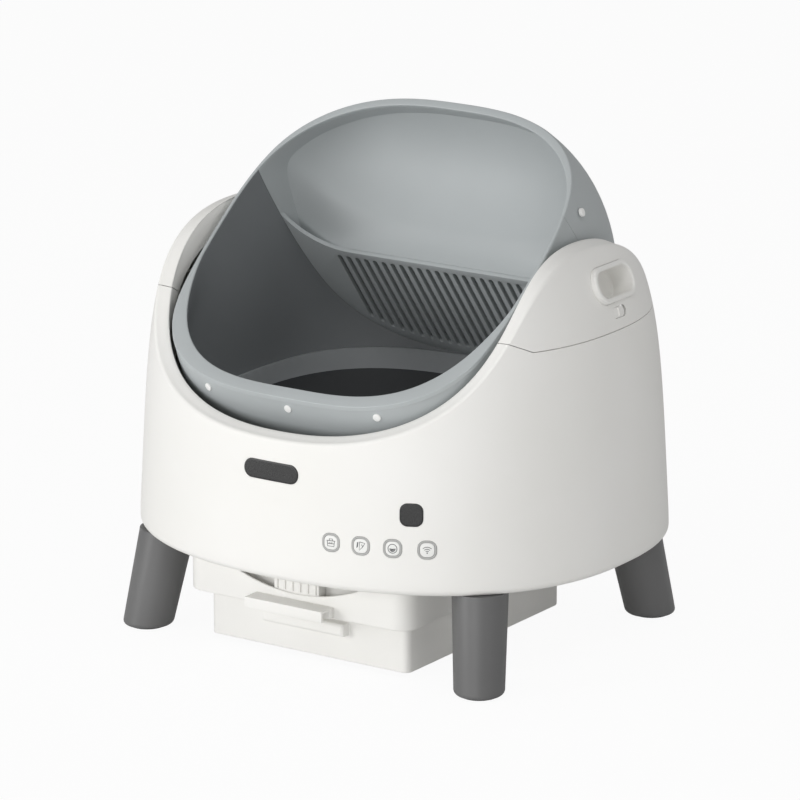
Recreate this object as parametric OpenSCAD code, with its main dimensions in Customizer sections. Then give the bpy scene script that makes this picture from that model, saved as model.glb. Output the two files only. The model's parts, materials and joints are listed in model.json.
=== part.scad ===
// Open-top self-cleaning litter box: a tilted drum turns inside a domed shell on four legs.
// Millimetres, +Z up. The front faces -Y. The origin is on the floor, midway between the feet.

/* [Shell] */
// Half of the shell's width at its widest ring
shell_half_w = 280; // [276:1:290]
// Half of the shell's depth at its widest ring
shell_half_d = 241; // [238:1:250]
// Height of the shell's bottom edge above the floor
shell_bottom_z = 106; // [104:1:112]
// Height of the widest ring above the bottom edge
belly_h = 14; // [12:1:20]
// Distance of the point where the dome would close above the tops of the ears
dome_close = 41; // [38:0.5:44]
// Share of the width that the wall leans in over the dome's height
dome_draft = 0.068; // [0.05:0.002:0.08]
// Power of the dome's side curve
dome_power = 4.9; // [4.5:0.1:5.5]
// Power of the front half of the shell's rounded plan outline
front_plan_power = 2.27; // [2.2:0.01:2.5]
// Power of the back half of the shell's rounded plan outline
back_plan_power = 2.54; // [2.4:0.01:2.7]
// Wall thickness of the shell
shell_wall = 3; // [2.5:0.1:3.5]
// Radius of the shell's rounded bottom edge
bottom_edge_r = 8; // [6:0.5:10]
// Width of the flange that closes the shell's underside around the pan
floor_flange_w = 62; // [60:1:64]

/* [Shell rim] */
// Distance of the rim at the middle of the front below the drum's axis
rim_front_drop = 106; // [102:1:112]
// Distance of the rim at the top of each ear above the drum's axis
rim_ear_h = 74; // [72:0.5:77]
// Distance of the rim at the middle of the back below the drum's axis
rim_back_drop = 60; // [56:1:64]
// Distance of the ear's top behind the middle
ear_y = 12; // [7:1:17]
// Width of the inward lip at the front
front_lip_w = 15; // [12:1:18]
// Width of the inward lip on the ears
ear_lip_w = 9; // [7:0.5:10]
// Width of the inward lip at the back
back_lip_w = 10; // [8:0.5:12]
// Rise of the lip from its crest to its inner edge
lip_rise = 4; // [2:0.5:5]
// Thickness of the lip
lip_t = 3; // [2.5:0.1:4]
// Radius of the rounded crest
crest_r = 4; // [3:0.5:5]

/* [Ear caps] */
// Distance of the parting line between the shell and an ear cap below the ear's top
part_drop = 82.5; // [80:0.5:86]
// Place along the depth where the parting line turns up
part_kink_y = -108; // [-112:1:-100]
// Slope of the parting line in front of the kink
part_slope = 0.5; // [0.4:0.05:0.6]
// Gap along the parting line
part_gap = 0.4; // [0.3:0.1:0.6]
// Centre of the handle recess along the depth
handle_y = 33; // [28:1:38]
// Distance of the handle recess below the ear's top
handle_drop = 36; // [34:0.5:38]
// Length of the handle cup
handle_l = 86; // [78:1:90]
// Height of the handle cup
handle_h = 40; // [36:1:42]
// Depth of the handle cup below the ear's surface
handle_depth = 16; // [12:1:17]
// Wall thickness of the handle cup
handle_wall = 5; // [4:0.5:6]
// Stand of the handle cup's edge over the ear's surface
handle_proud = 1; // [0.5:0.5:3]
// Turn of the handle recess that lets its rear end sink into the ear
handle_turn = 6; // [4:1:8]
// Centre of the latch slot along the depth
latch_y = 27; // [22:1:32]
// Distance of the latch slot below the ear's top
latch_drop = 65; // [63:0.5:67]
// Length of the latch slot
latch_slot_l = 17; // [15:1:20]
// Height of the latch slot
latch_slot_h = 9; // [8:0.5:10]
// Travel of the latch
latch_travel = 4; // [3:0.5:5]

/* [Drum] */
// Room between the pan and the drum
drum_under_room = 28; // [26:0.5:30]
// Distance of the drum's largest radius inside the shell's depth
drum_front_room = 20; // [18:0.5:24]
// Room between an ear's lip and the drum's flat end
drum_ear_gap = 10.5; // [9:0.1:12]
// Width that the flat ends cut off the drum's side curve
drum_end_cut = 8; // [7:0.5:10]
// Power of the drum's side curve
drum_power = 3.1; // [2.9:0.1:3.3]
// Wall thickness of the drum
drum_wall = 4; // [3.5:0.1:5]
// Thickness of the drum's flat ends
drum_end_t = 5; // [4:0.5:6]
// Tilt of the drum's opening
drum_tilt = 38; // [34:1:42]
// Distance of the opening from the axis
opening_h = 75; // [70:1:80]
// Distance of the bowl's joint with the hood from the axis
split_h = 74; // [70:1:78]
// Width of the rim around the opening
rim_band_w = 14; // [12:0.5:17]
// Thickness of that rim
rim_band_t = 9; // [7:0.5:11]

/* [Sifting screen] */
// Depth of the screen's top edge below the opening
screen_top = 125; // [120:1:130]
// Corner radius of the window above the screen
window_r = 70; // [60:1:75]
// Thickness of the screen
screen_t = 4.5; // [4:0.5:6]
// Pitch of the slots
slot_pitch = 11.5; // [11:0.1:12]
// Width of a slot
slot_w = 6; // [5:0.1:6.5]
// Solid band between the last slot and the drum's side
slot_side_band = 60; // [58:1:80]
// Solid band above the slots
slot_top_band = 8; // [6:0.5:10]
// Solid band between the slots and the drum's wall
slot_end_band = 14; // [10:1:18]
// Height over the axis at which the pocket's lid meets the hood's wall
pocket_end_h = 10; // [0:1:20]
// Sag of the pocket's lid
pocket_sag = 25; // [20:1:30]
// Thickness of the pocket lid
pocket_t = 3; // [2.5:0.1:4]
// Thickness of the floor liner
liner_t = 2.5; // [2:0.1:3]

/* [Rim studs] */
// Radius of a stud
stud_r = 4.3; // [3.5:0.1:5]
// Depth of a stud in the drum's wall
stud_sunk = 2.5; // [2:0.1:3]
// Stand of a stud over the drum's wall
stud_proud = 1.2; // [1:0.1:1.5]
// Distance of the outer front studs from the drum's side
stud_side_room = 106; // [97:1:117]
// Distance of the front studs below the opening
stud_drop = 13; // [11:0.5:16]
// Distance of the side studs from the drum's largest radius, along the opening
side_stud_room = 122; // [116:1:131]
// Distance of the hood studs below the opening
hood_stud_drop = 22; // [18:1:26]

/* [Drive] */
// Radius of the trunnion shafts
shaft_r = 14; // [12:0.5:15]
// Running clearance of a shaft in its bush
run_gap = 0.05; // [0.02:0.01:0.08]
// Radius of the trunnion flanges
trunnion_flange_r = 46; // [42:1:50]
// Thickness of the trunnion flanges
trunnion_flange_t = 5; // [4:0.5:6]
// Wall thickness of the bearing bushes
bush_wall = 4; // [3:0.5:5]
// Gear module
gear_module = 2; // [1.9:0.05:2]
// Teeth on the ring gear
ring_teeth = 60; // [56:4:60]
// Teeth on the pinion
pinion_teeth = 15; // [15:1:16]
// Face width of both gears
gear_w = 8; // [7:0.5:9]
// Bore radius of the ring gear
ring_bore_r = 30; // [26:1:34]
// Tooth thickness at the pitch circle, as a share of the pitch
tooth_share = 0.38; // [0.34:0.01:0.4]
// Direction of the pinion from the drum's axis, in degrees above the rear
pinion_turn = -53; // [-60:1:-48]
// Radius of the motor's output shaft
pinion_shaft_r = 3; // [2.5:0.1:3.5]
// Thickness of the bearing posts
post_t = 12; // [10:0.5:13]
// Gap between the gears and a post
post_gap = 2.5; // [2:0.1:3]
// Radius of a post's head
post_head_r = 24; // [22:0.5:25]
// Thickness of the motor's gearbox
gearbox_t = 20; // [16:0.5:22]
// Depth of the motor's gearbox
gearbox_d = 32; // [28:1:34]
// Height of the gearbox above its output shaft
gearbox_over_h = 15; // [12:1:16]
// Height of the gearbox below its output shaft
gearbox_under_h = 30; // [26:1:32]
// Radius of the motor's can
motor_can_r = 8.5; // [7:0.5:9]
// Length of the motor's can
motor_can_l = 42; // [36:1:50]

/* [Front panel] */
// Distance of the display window below the front rim
display_drop = 35; // [33:1:37]
// Length of the display window
display_l = 67; // [60:1:70]
// Height of the display window
display_h = 24; // [20:1:26]
// Distance of the sensor window inside the shell's width
sensor_side_room = 125.5; // [120:0.5:132]
// Distance of the sensor window below the front rim
sensor_drop = 63.5; // [60:0.5:67]
// Side of the sensor window
sensor_side = 24; // [22:1:26]
// Corner radius of the sensor window
sensor_corner_r = 6; // [4:0.5:8]
// Distance of the first key inside the shell's width
key_side_room = 206.5; // [202:0.5:210]
// Pitch of the keys
key_pitch = 32.1; // [31:0.1:33.5]
// Distance of the keys below the front rim
key_drop = 99.5; // [97:0.5:104]
// Side of a key's ring
key_ring_side = 19.5; // [18:0.5:20.5]
// Width of a key's ring
key_ring_w = 2; // [1.8:0.1:2.4]
// Corner radius of a key's ring
key_corner_r = 6; // [5:0.5:7]
// Travel of a key
key_travel = 1.2; // [0.8:0.1:1.4]
// Thickness of the windows
window_t = 5; // [4.5:0.1:6]
// Stand of the windows, rings and keys over the shell
panel_proud = 0.4; // [0.3:0.1:0.6]
// Clearance of a piece in its opening
fit_gap = 0.3; // [0.25:0.05:0.4]
// Thickness of the circuit boards
board_t = 1.6; // [1.2:0.1:2]

/* [Legs] */
// Distance of a leg's top inside the shell's width
leg_side_room = 81; // [79:1:83]
// Distance of a leg's top inside the shell's depth
leg_front_room = 94; // [92:1:96]
// Lean of a leg from its top to its foot, across the width
leg_lean_x = 13; // [10:1:15]
// Lean of a leg from its top to its foot, along the depth
leg_lean_y = 21; // [18:1:23]
// Radius of a leg at the foot
foot_r = 26.5; // [24:0.5:28]
// Radius of a leg at the top
leg_top_r = 29.5; // [27:0.5:31]
// Radius of a rubber foot
pad_r = 20; // [17:0.5:21]
// Thickness of a rubber foot
pad_t = 4; // [3:0.5:5]
// Stand of a rubber foot below its leg
pad_proud = 1.5; // [1:0.1:2]
// Shank radius of a leg screw
leg_screw_r = 4; // [3:0.5:5]
// Shank length of a leg screw
leg_screw_l = 25; // [22:1:28]

/* [Pan] */
// Thickness of the pan and of the shell's floor flange
pan_t = 4; // [3.5:0.5:5]
// Distance of the waste port's sides inside the bin's sides
port_side_room = 26; // [22:1:34]
// Distance of the waste port's front end behind the bin's front
port_front_room = 53; // [51:1:61]
// Distance of the waste port's back end before the bin's back
port_back_room = 22; // [20:1:30]
// Distance of the chute's mouth inside the drum's side curve
chute_side_room = 34; // [30:1:42]
// Distance of the chute's mouth inside the shell's depth
chute_front_room = 62; // [58:1:66]
// Height of the chute's mouth above the pan
chute_h = 72; // [64:1:76]
// Wall thickness of the chute
chute_wall = 3; // [2.5:0.1:3.5]

/* [Drawer] */
// Distance of the drawer's frame inside the shell's width
frame_side_room = 139; // [137:1:142]
// Distance of the frame's front face inside the shell's depth
frame_front_room = 46; // [43:1:49]
// Distance of the frame's back face inside the shell's depth
frame_back_room = 108; // [105:1:109]
// Height of the drawer's frame
frame_h = 44; // [42:1:47]
// Room between the drawer's top edge and the shell
drawer_gap = 2; // [1.5:0.1:3]
// Wall thickness of the drawer's frame and bin
drawer_wall = 3; // [2.5:0.1:3.5]
// Corner radius of the frame
drawer_corner_r = 20; // [16:1:24]
// Corner radius of the bin
bin_corner_r = 8; // [6:0.5:12]
// Distance of the waste bin's sides inside the frame
bin_side_room = 15; // [14:1:19]
// Distance of the waste bin's front behind the frame's front
bin_front_room = 24; // [22:1:27]
// Distance of the waste bin's back before the frame's back
bin_back_room = 13; // [12:1:16]
// Underside of the waste bin
bin_bottom_z = 7; // [6:1:12]
// Width of the bin's flange
bin_flange_w = 8; // [7:0.5:8.5]
// Lowest point of the curved cut in the drawer's front, above the frame's underside
smile_h = 18; // [16:1:24]
// Radius of that cut
smile_r = 195; // [180:5:210]
// Length of the handle bar
bar_l = 98; // [90:1:106]
// Height of the handle bar
bar_h = 12; // [10:0.5:13]
// Reach of the handle bar in front of the drawer
bar_reach = 22; // [18:1:24]
// Lower edge of the handle bar, above the frame's underside
bar_up = 0.5; // [0:0.5:4]
// Length of the grip on the bin's front
grip_l = 104; // [90:1:110]
// Height of the grip
grip_h = 14; // [10:1:16]
// Reach of the grip in front of the bin
grip_reach = 12; // [8:1:14]
// Width of the odour cartridge
cartridge_w = 52; // [44:1:56]
// Depth of the odour cartridge
cartridge_d = 7; // [5:0.5:7]
// Height of the odour cartridge
cartridge_h = 18; // [14:1:20]
// Running gap of the drawer on its rails
rail_gap = 0.3; // [0.2:0.05:0.4]
// Width of the drawer's running flanges
runner_w = 8; // [6:0.5:9]
// Distance of the rails' ends inside the shell's depth
rail_end_room = 116; // [113:1:130]

/* [Power inlet] */
// Bore radius of the power inlet
inlet_bore_r = 2.75; // [2.5:0.05:3.2]
// Depth of the inlet's bore
inlet_bore_l = 9; // [8:0.5:11]
// Outer radius of the power inlet
inlet_r = 5.5; // [5:0.1:6.5]
// Distance of the power inlet from the middle
inlet_x = 70; // [60:1:80]
// Height of the power inlet above the shell's bottom edge
inlet_h = 24; // [20:1:28]

/* [Hidden] */

$fn = 64;
far = 700;
eps = 0.01;
cut_over = 1;

white = [0.95, 0.95, 0.94];
drum_grey = [0.62, 0.65, 0.66];
dark_grey = [0.38, 0.38, 0.38];
liner_grey = [0.25, 0.26, 0.26];
lens_black = [0.2, 0.2, 0.2];
ring_grey = [0.68, 0.68, 0.68];
steel = [0.75, 0.76, 0.78];
bronze = [0.72, 0.55, 0.3];
board_green = [0.12, 0.38, 0.24];
gear_white = [0.88, 0.87, 0.82];

widest_z = shell_bottom_z + belly_h;
floor_z = shell_bottom_z + shell_wall;
pan_top_z = floor_z + pan_t;
drum_r = shell_half_d - drum_front_room;
rim_inner_r = drum_r - rim_band_w;
axis_z = pan_top_z + drum_under_room + drum_r;
rim_front_z = axis_z - rim_front_drop;
rim_ear_z = axis_z + rim_ear_h;
rim_back_z = axis_z - rim_back_drop;
dome_h = rim_ear_z + dome_close - widest_z;
drum_end_x = half_w(rim_ear_z) - ear_lip_w - drum_ear_gap;
drum_half_w = drum_end_x + drum_end_cut;
part_z = rim_ear_z - part_drop;
handle_z = rim_ear_z - handle_drop;
latch_z = rim_ear_z - latch_drop;
display_z = rim_front_z - display_drop;
sensor_x = shell_half_w - sensor_side_room;
sensor_z = rim_front_z - sensor_drop;
key_x = shell_half_w - key_side_room;
key_z = rim_front_z - key_drop;
split_low_h = sqrt(pow(drum_r - drum_wall, 2) - pow(split_h, 2));
liner_z = axis_z + split_h * sin(drum_tilt) - split_low_h * cos(drum_tilt);
slots_per_side = floor((drum_half_w - slot_side_band) / slot_pitch);
stud_x = drum_half_w - stud_side_room;
side_stud_s = drum_r - side_stud_room;
leg_top_x = shell_half_w - leg_side_room;
leg_top_y = shell_half_d - leg_front_room;
foot_x = leg_top_x + leg_lean_x;
foot_y = leg_top_y + leg_lean_y;
chute_half_w = drum_half_w - chute_side_room;
chute_half_d = shell_half_d - chute_front_room;
drum_face_x = drum_end_x + trunnion_flange_t;
gear_end_x = drum_face_x + gear_w;
post_x = gear_end_x + post_gap;
post_end_x = post_x + post_t;
shaft_over = 1.5;
shaft_end_x = post_end_x + shaft_over;
ring_pitch_r = gear_module * ring_teeth / 2;
pinion_pitch_r = gear_module * pinion_teeth / 2;
gear_centres = ring_pitch_r + pinion_pitch_r;
pinion_y = gear_centres * cos(pinion_turn);
pinion_z = axis_z + gear_centres * sin(pinion_turn);
drawer_top_z = shell_bottom_z - drawer_gap;
frame_half_w = shell_half_w - frame_side_room;
frame_front_y = frame_front_room - shell_half_d;
frame_back_y = shell_half_d - frame_back_room;
frame_bottom_z = drawer_top_z - frame_h;
bin_half_w = frame_half_w - bin_side_room;
bin_front_y = frame_front_y + bin_front_room;
bin_back_y = frame_back_y - bin_back_room;
port_half_w = bin_half_w - port_side_room;
port_front_y = bin_front_y + port_front_room;
port_back_y = bin_back_y - port_back_room;
smile_z = frame_bottom_z + smile_h;
bar_z = frame_bottom_z + bar_up;
rail_l = 2 * (shell_half_d - rail_end_room);
ear_sides = [-1, 1];
leg_signs = [[-1, -1], [1, -1], [-1, 1], [1, 1]];

// Plan outline and side curve of the dome
function dome_t(z) = max(0, z - widest_z) / dome_h;
function dome_scale(z) = (1 - dome_draft * dome_t(z)) * pow(1 - pow(dome_t(z), dome_power), 1 / dome_power);
function half_w(z) = shell_half_w * dome_scale(z);
function half_d(z) = shell_half_d * dome_scale(z);
function plan_power(s) = s < 0 ? front_plan_power : back_plan_power;
function other_leg(s) = pow(max(0, 1 - pow(abs(s), plan_power(s))), 1 / plan_power(s));
function shell_x(y, z) = half_w(z) * other_leg(y / half_d(z));
function shell_y(x, z) = -half_d(z) * other_leg(-abs(x) / half_w(z));
function slope_w(z) = (half_w(z - 1) - half_w(z + 1)) / 2;
function slope_d(z) = (half_d(z - 1) - half_d(z + 1)) / 2;
function front_turn(x, z) = atan2(
    pow(x / half_w(z), front_plan_power - 1) / half_w(z),
    pow(other_leg(-x / half_w(z)), front_plan_power - 1) / half_d(z));

// Rim of the shell seen from the side: one curve up to the ear's top and one down to the back
function bezier(p, t) = pow(1 - t, 3) * p[0] + 3 * pow(1 - t, 2) * t * p[1]
    + 3 * (1 - t) * t * t * p[2] + pow(t, 3) * p[3];
rim_front = [-half_d(rim_front_z), rim_front_z];
rim_ear = [ear_y, rim_ear_z];
rim_back = [half_d(rim_back_z), rim_back_z];
front_pull = [118, 87];
ear_front_pull = [-142, 0];
ear_back_pull = [165, 0];
back_pull = [-110, 24];
front_curve = [rim_front, rim_front + front_pull, rim_ear + ear_front_pull, rim_ear];
back_curve = [rim_ear, rim_ear + ear_back_pull, rim_back + back_pull, rim_back];
rim_steps = 18;
end_crowding = 2.2;
function rim_at(i) = i <= rim_steps
    ? bezier(front_curve, pow(i / rim_steps, end_crowding))
    : bezier(back_curve, 1 - pow(2 - i / rim_steps, end_crowding));
lip_power = 4;
function lip_w_at(s) = ear_lip_w + ((s < 0 ? front_lip_w : back_lip_w) - ear_lip_w) * pow(abs(s), lip_power);

// One upright section of the shell wall, as [inset, height] points from the bottom edge round to the floor
corner_cut = 0.3;
lip_root = 1;
wall_rows = 11;
row_crowding = 1.7;
function row_share(j) = 1 - pow(1 - j / wall_rows, row_crowding);
function section(zc, lip_w) = concat(
    [[bottom_edge_r, shell_bottom_z], corner_cut * bottom_edge_r * [1, 1] + [0, shell_bottom_z]],
    [for (j = [0 : wall_rows]) [0, shell_bottom_z + bottom_edge_r
        + (zc - crest_r - shell_bottom_z - bottom_edge_r) * row_share(j)]],
    [corner_cut * crest_r * [1, -1] + [0, zc], [crest_r, zc]],
    [[lip_w, zc + lip_rise], [lip_w, zc + lip_rise - lip_t], [shell_wall + lip_root, zc - lip_t]],
    [for (j = [wall_rows - 1 : -1 : 1]) [shell_wall, floor_z + (zc - lip_t - floor_z) * row_share(j)]],
    [[shell_wall, floor_z], [floor_flange_w, floor_z], [floor_flange_w, shell_bottom_z]]);
function column(i, side) = let (p = rim_at(i), s = max(-1, min(1, p[0] / half_d(p[1]))))
    [for (q = section(p[1], lip_w_at(s)))
        [side * (half_w(q[1]) - q[0]) * other_leg(s), (half_d(q[1]) - q[0]) * s, q[1]]];

module whole_shell() {
    columns = concat([for (i = [0 : 2 * rim_steps]) column(i, 1)],
        [for (i = [2 * rim_steps - 1 : -1 : 1]) column(i, -1)]);
    n = len(columns);
    m = len(columns[0]);
    points = [for (c = columns) each c];
    faces = [for (i = [0 : n - 1], j = [0 : m - 1])
        let (a = i * m, b = (i + 1) % n * m, k = (j + 1) % m)
        each [[a + j, a + k, b + k], [a + j, b + k, b + j]]];
    polyhedron(points, faces, convexity = 8);
}

module cap_zone(gap) {
    reach = 120;
    rotate([90, 0, 90]) translate([0, gap, -far / 2]) linear_extrude(far) polygon([
        [part_kink_y, part_z],
        [far / 2, part_z],
        [far / 2, far],
        [part_kink_y - reach, far],
        [part_kink_y - reach, part_z + reach * part_slope]]);
}

// Places a child on the shell's front, with -Y pointing out of the wall
module on_front(x, z) {
    translate([x, shell_y(x, z), z]) rotate([-atan(slope_d(z)), 0, front_turn(x, z)]) children();
}

// Places a child on the right ear, with +X pointing out of the wall
module on_ear(y, z) {
    translate([shell_x(y, z), y, z]) rotate([0, -atan(slope_w(z)), 0]) children();
}

// Extrudes an outline inwards from the front wall, starting proud of it
module inward(proud, depth) {
    translate([0, -proud, 0]) rotate([-90, 0, 0]) linear_extrude(proud + depth) children();
}

// Extrudes an outline inwards from an ear, starting proud of it, with the outline's X along the depth
module inward_ear(proud, depth) {
    translate([-depth, 0, 0]) rotate([90, 0, 90]) linear_extrude(proud + depth) children();
}

module pill(l, h) {
    square([l - h, h], center = true);
    for (s = ear_sides) translate([s * (l - h) / 2, 0]) circle(d = h);
}

module rounded_box(w, d, r) {
    square([w - 2 * r, d], center = true);
    square([w, d - 2 * r], center = true);
    for (sx = ear_sides, sy = ear_sides) translate([sx * (w / 2 - r), sy * (d / 2 - r)]) circle(r);
}

module display_outline(gap) { pill(display_l + 2 * gap, display_h + 2 * gap); }
module sensor_outline(gap) {
    rounded_box(sensor_side + 2 * gap, sensor_side + 2 * gap, sensor_corner_r + gap);
}
module key_outline(inset) {
    rounded_box(key_ring_side - 2 * inset, key_ring_side - 2 * inset, key_corner_r - inset);
}

function key_place(i) = key_x + i * key_pitch;
function mid_pan_x(y) = shell_x(y, floor_z) - floor_flange_w / 2;

// Places of the screws that hold the pan on the shell's floor flange
pan_screw_y = 100;
pan_screw_places = concat(
    [for (y = [-pan_screw_y, pan_screw_y], s = ear_sides) [s * mid_pan_x(y), y]],
    [for (s = ear_sides) [0, s * (half_d(floor_z) - floor_flange_w / 2)]]);
pan_screw_r = 2.5;

module shell_openings() {
    deep = 3 * shell_wall;
    on_front(0, display_z) inward(deep, deep) display_outline(fit_gap);
    on_front(sensor_x, sensor_z) inward(deep, deep) sensor_outline(fit_gap);
    for (i = [0 : 3]) on_front(key_place(i), key_z) inward(deep, deep) key_outline(-fit_gap);
    translate([inlet_x, 0, inlet_z]) rotate([-90, 0, 0]) cylinder(r = inlet_r + fit_gap, h = far);
    for (s = leg_signs) translate([s[0] * leg_top_x, s[1] * leg_top_y, 0])
        cylinder(r = leg_screw_r + fit_gap, h = pan_top_z);
    for (p = pan_screw_places) translate([p[0], p[1], 0]) cylinder(r = pan_screw_r + fit_gap, h = pan_top_z);
}

module base_shell() {
    color(white) difference() {
        whole_shell();
        cap_zone(0);
        shell_openings();
    }
}

module on_handle() { on_ear(handle_y, handle_z) rotate([0, 0, handle_turn]) children(); }

module right_cap() {
    difference() {
        intersection() {
            whole_shell();
            cap_zone(part_gap);
            translate([0, -far / 2, 0]) cube([far, far, far]);
        }
        on_handle() inward_ear(far / 4, far / 8)
            pill(handle_l + 2 * fit_gap, handle_h + 2 * fit_gap);
        on_ear(latch_y, latch_z) inward_ear(far / 8, 3 * shell_wall) pill(latch_slot_l, latch_slot_h);
    }
}

module right_cup() {
    floor_t = 2.5;
    on_handle() difference() {
        inward_ear(handle_proud, handle_depth) pill(handle_l, handle_h);
        inward_ear(2 * handle_proud, handle_depth - floor_t)
            pill(handle_l - 2 * handle_wall, handle_h - 2 * handle_wall);
    }
}

// The latch's knob shows in the slot, and a plate behind the wall keeps it there
module right_slider() {
    knob_l = latch_slot_l - latch_travel - 2 * fit_gap;
    knob_h = latch_slot_h - 2 * fit_gap;
    plate_room = 2.8;
    plate_in = shell_wall + plate_room;
    plate_t = 2;
    plate_over = 2;
    ridge_w = 1.6;
    ridge_h = 0.8;
    ridge_l = knob_h - 2;
    on_ear(latch_y, latch_z) {
        translate([0, (knob_l - latch_slot_l) / 2 + fit_gap, 0]) {
            inward_ear(0, plate_in) pill(knob_l, knob_h);
            inward_ear(ridge_h, eps) translate([knob_l / 2 - 2 * ridge_w, 0])
                square([ridge_w, ridge_l], center = true);
            translate([eps - plate_in, 0, 0]) inward_ear(0, plate_t)
                pill(latch_slot_l + 2 * plate_over, knob_h + 2 * plate_over);
        }
    }
}

module left_ear_cap() { color(white) mirror([1, 0, 0]) right_cap(); }
module right_ear_cap() { color(white) right_cap(); }
module left_handle_cup() { color(white) mirror([1, 0, 0]) right_cup(); }
module right_handle_cup() { color(white) right_cup(); }
module left_latch() { color(white) mirror([1, 0, 0]) right_slider(); }
module right_latch() { color(white) right_slider(); }

// Pan on the floor flange, with the waste port
module port_outline(gap) {
    translate([-port_half_w - gap, port_front_y - gap])
        square([2 * (port_half_w + gap), port_back_y - port_front_y + 2 * gap]);
}

module base_pan() {
    pan_gap = 2;
    a = half_w(floor_z) - shell_wall - pan_gap;
    b = half_d(floor_z) - shell_wall - pan_gap;
    steps = 18;
    function half(power) = [for (i = [0 : 2 * steps]) let (c = cos(90 * i / steps))
        [sign(c) * pow(abs(c), 2 / power), pow(sin(90 * i / steps), 2 / power)]];
    front = half(front_plan_power);
    outline = concat(half(back_plan_power), [for (i = [1 : 2 * steps - 1]) -front[i]]);
    color(white) translate([0, 0, floor_z]) difference() {
        linear_extrude(pan_t) difference() {
            polygon([for (p = outline) [a * p[0], b * p[1]]]);
            port_outline(0);
        }
        for (s = leg_signs) translate([s[0] * leg_top_x, s[1] * leg_top_y, -cut_over])
            cylinder(r = leg_screw_r + fit_gap, h = pan_t + 2 * cut_over);
        for (p = pan_screw_places) translate([p[0], p[1], -cut_over])
            cylinder(r = pan_screw_r + fit_gap, h = pan_t + 2 * cut_over);
    }
}

// Funnel from under the drum down to the waste port
module funnel(inset, low, high) {
    slab = 0.1;
    over = chute_wall - inset;
    hull() {
        translate([-port_half_w - over, port_front_y - over, low])
            cube([2 * (port_half_w + over), port_back_y - port_front_y + 2 * over, slab]);
        translate([-chute_half_w + inset, -chute_half_d + inset, high - slab])
            cube([2 * (chute_half_w - inset), 2 * (chute_half_d - inset), slab]);
    }
}

module waste_chute() {
    collar_z = shell_bottom_z + fit_gap;
    color(white) {
        difference() {
            funnel(0, pan_top_z, pan_top_z + chute_h);
            funnel(chute_wall, pan_top_z - eps, pan_top_z + chute_h + eps);
        }
        translate([0, 0, collar_z]) linear_extrude(pan_top_z - collar_z + eps) difference() {
            port_outline(-fit_gap);
            port_outline(-chute_wall);
        }
        translate([0, 0, pan_top_z]) linear_extrude(chute_wall) difference() {
            port_outline(chute_wall / 2);
            port_outline(-chute_wall);
        }
    }
}

// A leg leans out from the shell to its foot; its cone's seam is turned off the plane of the lean
module leg(sx, sy) {
    run = [sx * (foot_x - leg_top_x), sy * (foot_y - leg_top_y), -shell_bottom_z];
    long = norm(run);
    lean = acos(shell_bottom_z / long);
    spare = 20;
    grow = (leg_top_r - foot_r) / long * spare;
    bore_l = 24;
    seam_turn = 70;
    color(dark_grey) difference() {
        translate([sx * leg_top_x, sy * leg_top_y, shell_bottom_z])
            rotate([0, 180 - lean, atan2(run[1], run[0])]) rotate(seam_turn) translate([0, 0, -spare])
            cylinder(r1 = leg_top_r + grow, r2 = foot_r - grow, h = long + 2 * spare);
        translate([-far / 2, -far / 2, shell_bottom_z]) cube([far, far, far]);
        translate([-far / 2, -far / 2, pad_proud - far]) cube([far, far, far]);
        translate([sx * foot_x, sy * foot_y, 0]) cylinder(r = pad_r + fit_gap, h = pad_t);
        translate([sx * leg_top_x, sy * leg_top_y, shell_bottom_z - bore_l])
            cylinder(r = leg_screw_r + run_gap, h = bore_l + cut_over);
    }
}

module front_left_leg() { leg(-1, -1); }
module front_right_leg() { leg(1, -1); }
module rear_left_leg() { leg(-1, 1); }
module rear_right_leg() { leg(1, 1); }

module rubber_feet() {
    color(lens_black) for (s = leg_signs) translate([s[0] * foot_x, s[1] * foot_y, 0])
        cylinder(r = pad_r, h = pad_t);
}

module screw(r, under, head_t) {
    translate([0, 0, -under]) cylinder(r = r, h = under);
    difference() {
        cylinder(r = 2 * r, h = head_t);
        translate([0, 0, head_t / 2]) cylinder(r = r, h = head_t, $fn = 6);
    }
}

module leg_screws() {
    color(steel) for (s = leg_signs) translate([s[0] * leg_top_x, s[1] * leg_top_y, pan_top_z])
        screw(leg_screw_r, leg_screw_l, leg_screw_r);
}

module pan_screws() {
    color(steel) for (p = pan_screw_places) translate([p[0], p[1], pan_top_z])
        screw(pan_screw_r, pan_t + shell_wall, pan_screw_r);
}

// Drum: a body turned about X, in a frame tilted with its opening
module drum_frame() { translate([0, 0, axis_z]) rotate([drum_tilt, 0, 0]) children(); }

globe_steps = 11;
function globe_r(x, a, r) = r * pow(1 - pow(min(1, abs(x) / a), drum_power), 1 / drum_power);
module globe(a, r, end) {
    last = asin(pow(end / a, drum_power / 2));
    curve = [for (i = [-globe_steps : globe_steps]) let (t = last * i / globe_steps)
        [r * pow(cos(t), 2 / drum_power), sign(t) * a * pow(abs(sin(t)), 2 / drum_power)]];
    rotate([0, 90, 0]) rotate_extrude($fn = 96) polygon(concat([[0, -end]], curve, [[0, end]]));
}

module globe_outer() { globe(drum_half_w, drum_r, drum_end_x); }
module globe_inner(gap) {
    globe(drum_half_w - drum_wall - gap, drum_r - drum_wall - gap, drum_end_x - drum_end_t - gap);
}

module drum_wall_band() {
    difference() {
        globe_outer();
        globe_inner(0);
    }
    rim_end = drum_end_x - drum_end_t;
    intersection() {
        difference() {
            globe_outer();
            globe(drum_half_w - (drum_r - rim_inner_r) / 2, rim_inner_r, rim_end);
        }
        translate([-far / 2, -far / 2, opening_h - rim_band_t]) cube([far, far, rim_band_t]);
    }
}

module stud_seats() { for (s = studs) stud_frame(s) cylinder(r = stud_r + run_gap, h = far / 8); }

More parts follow.
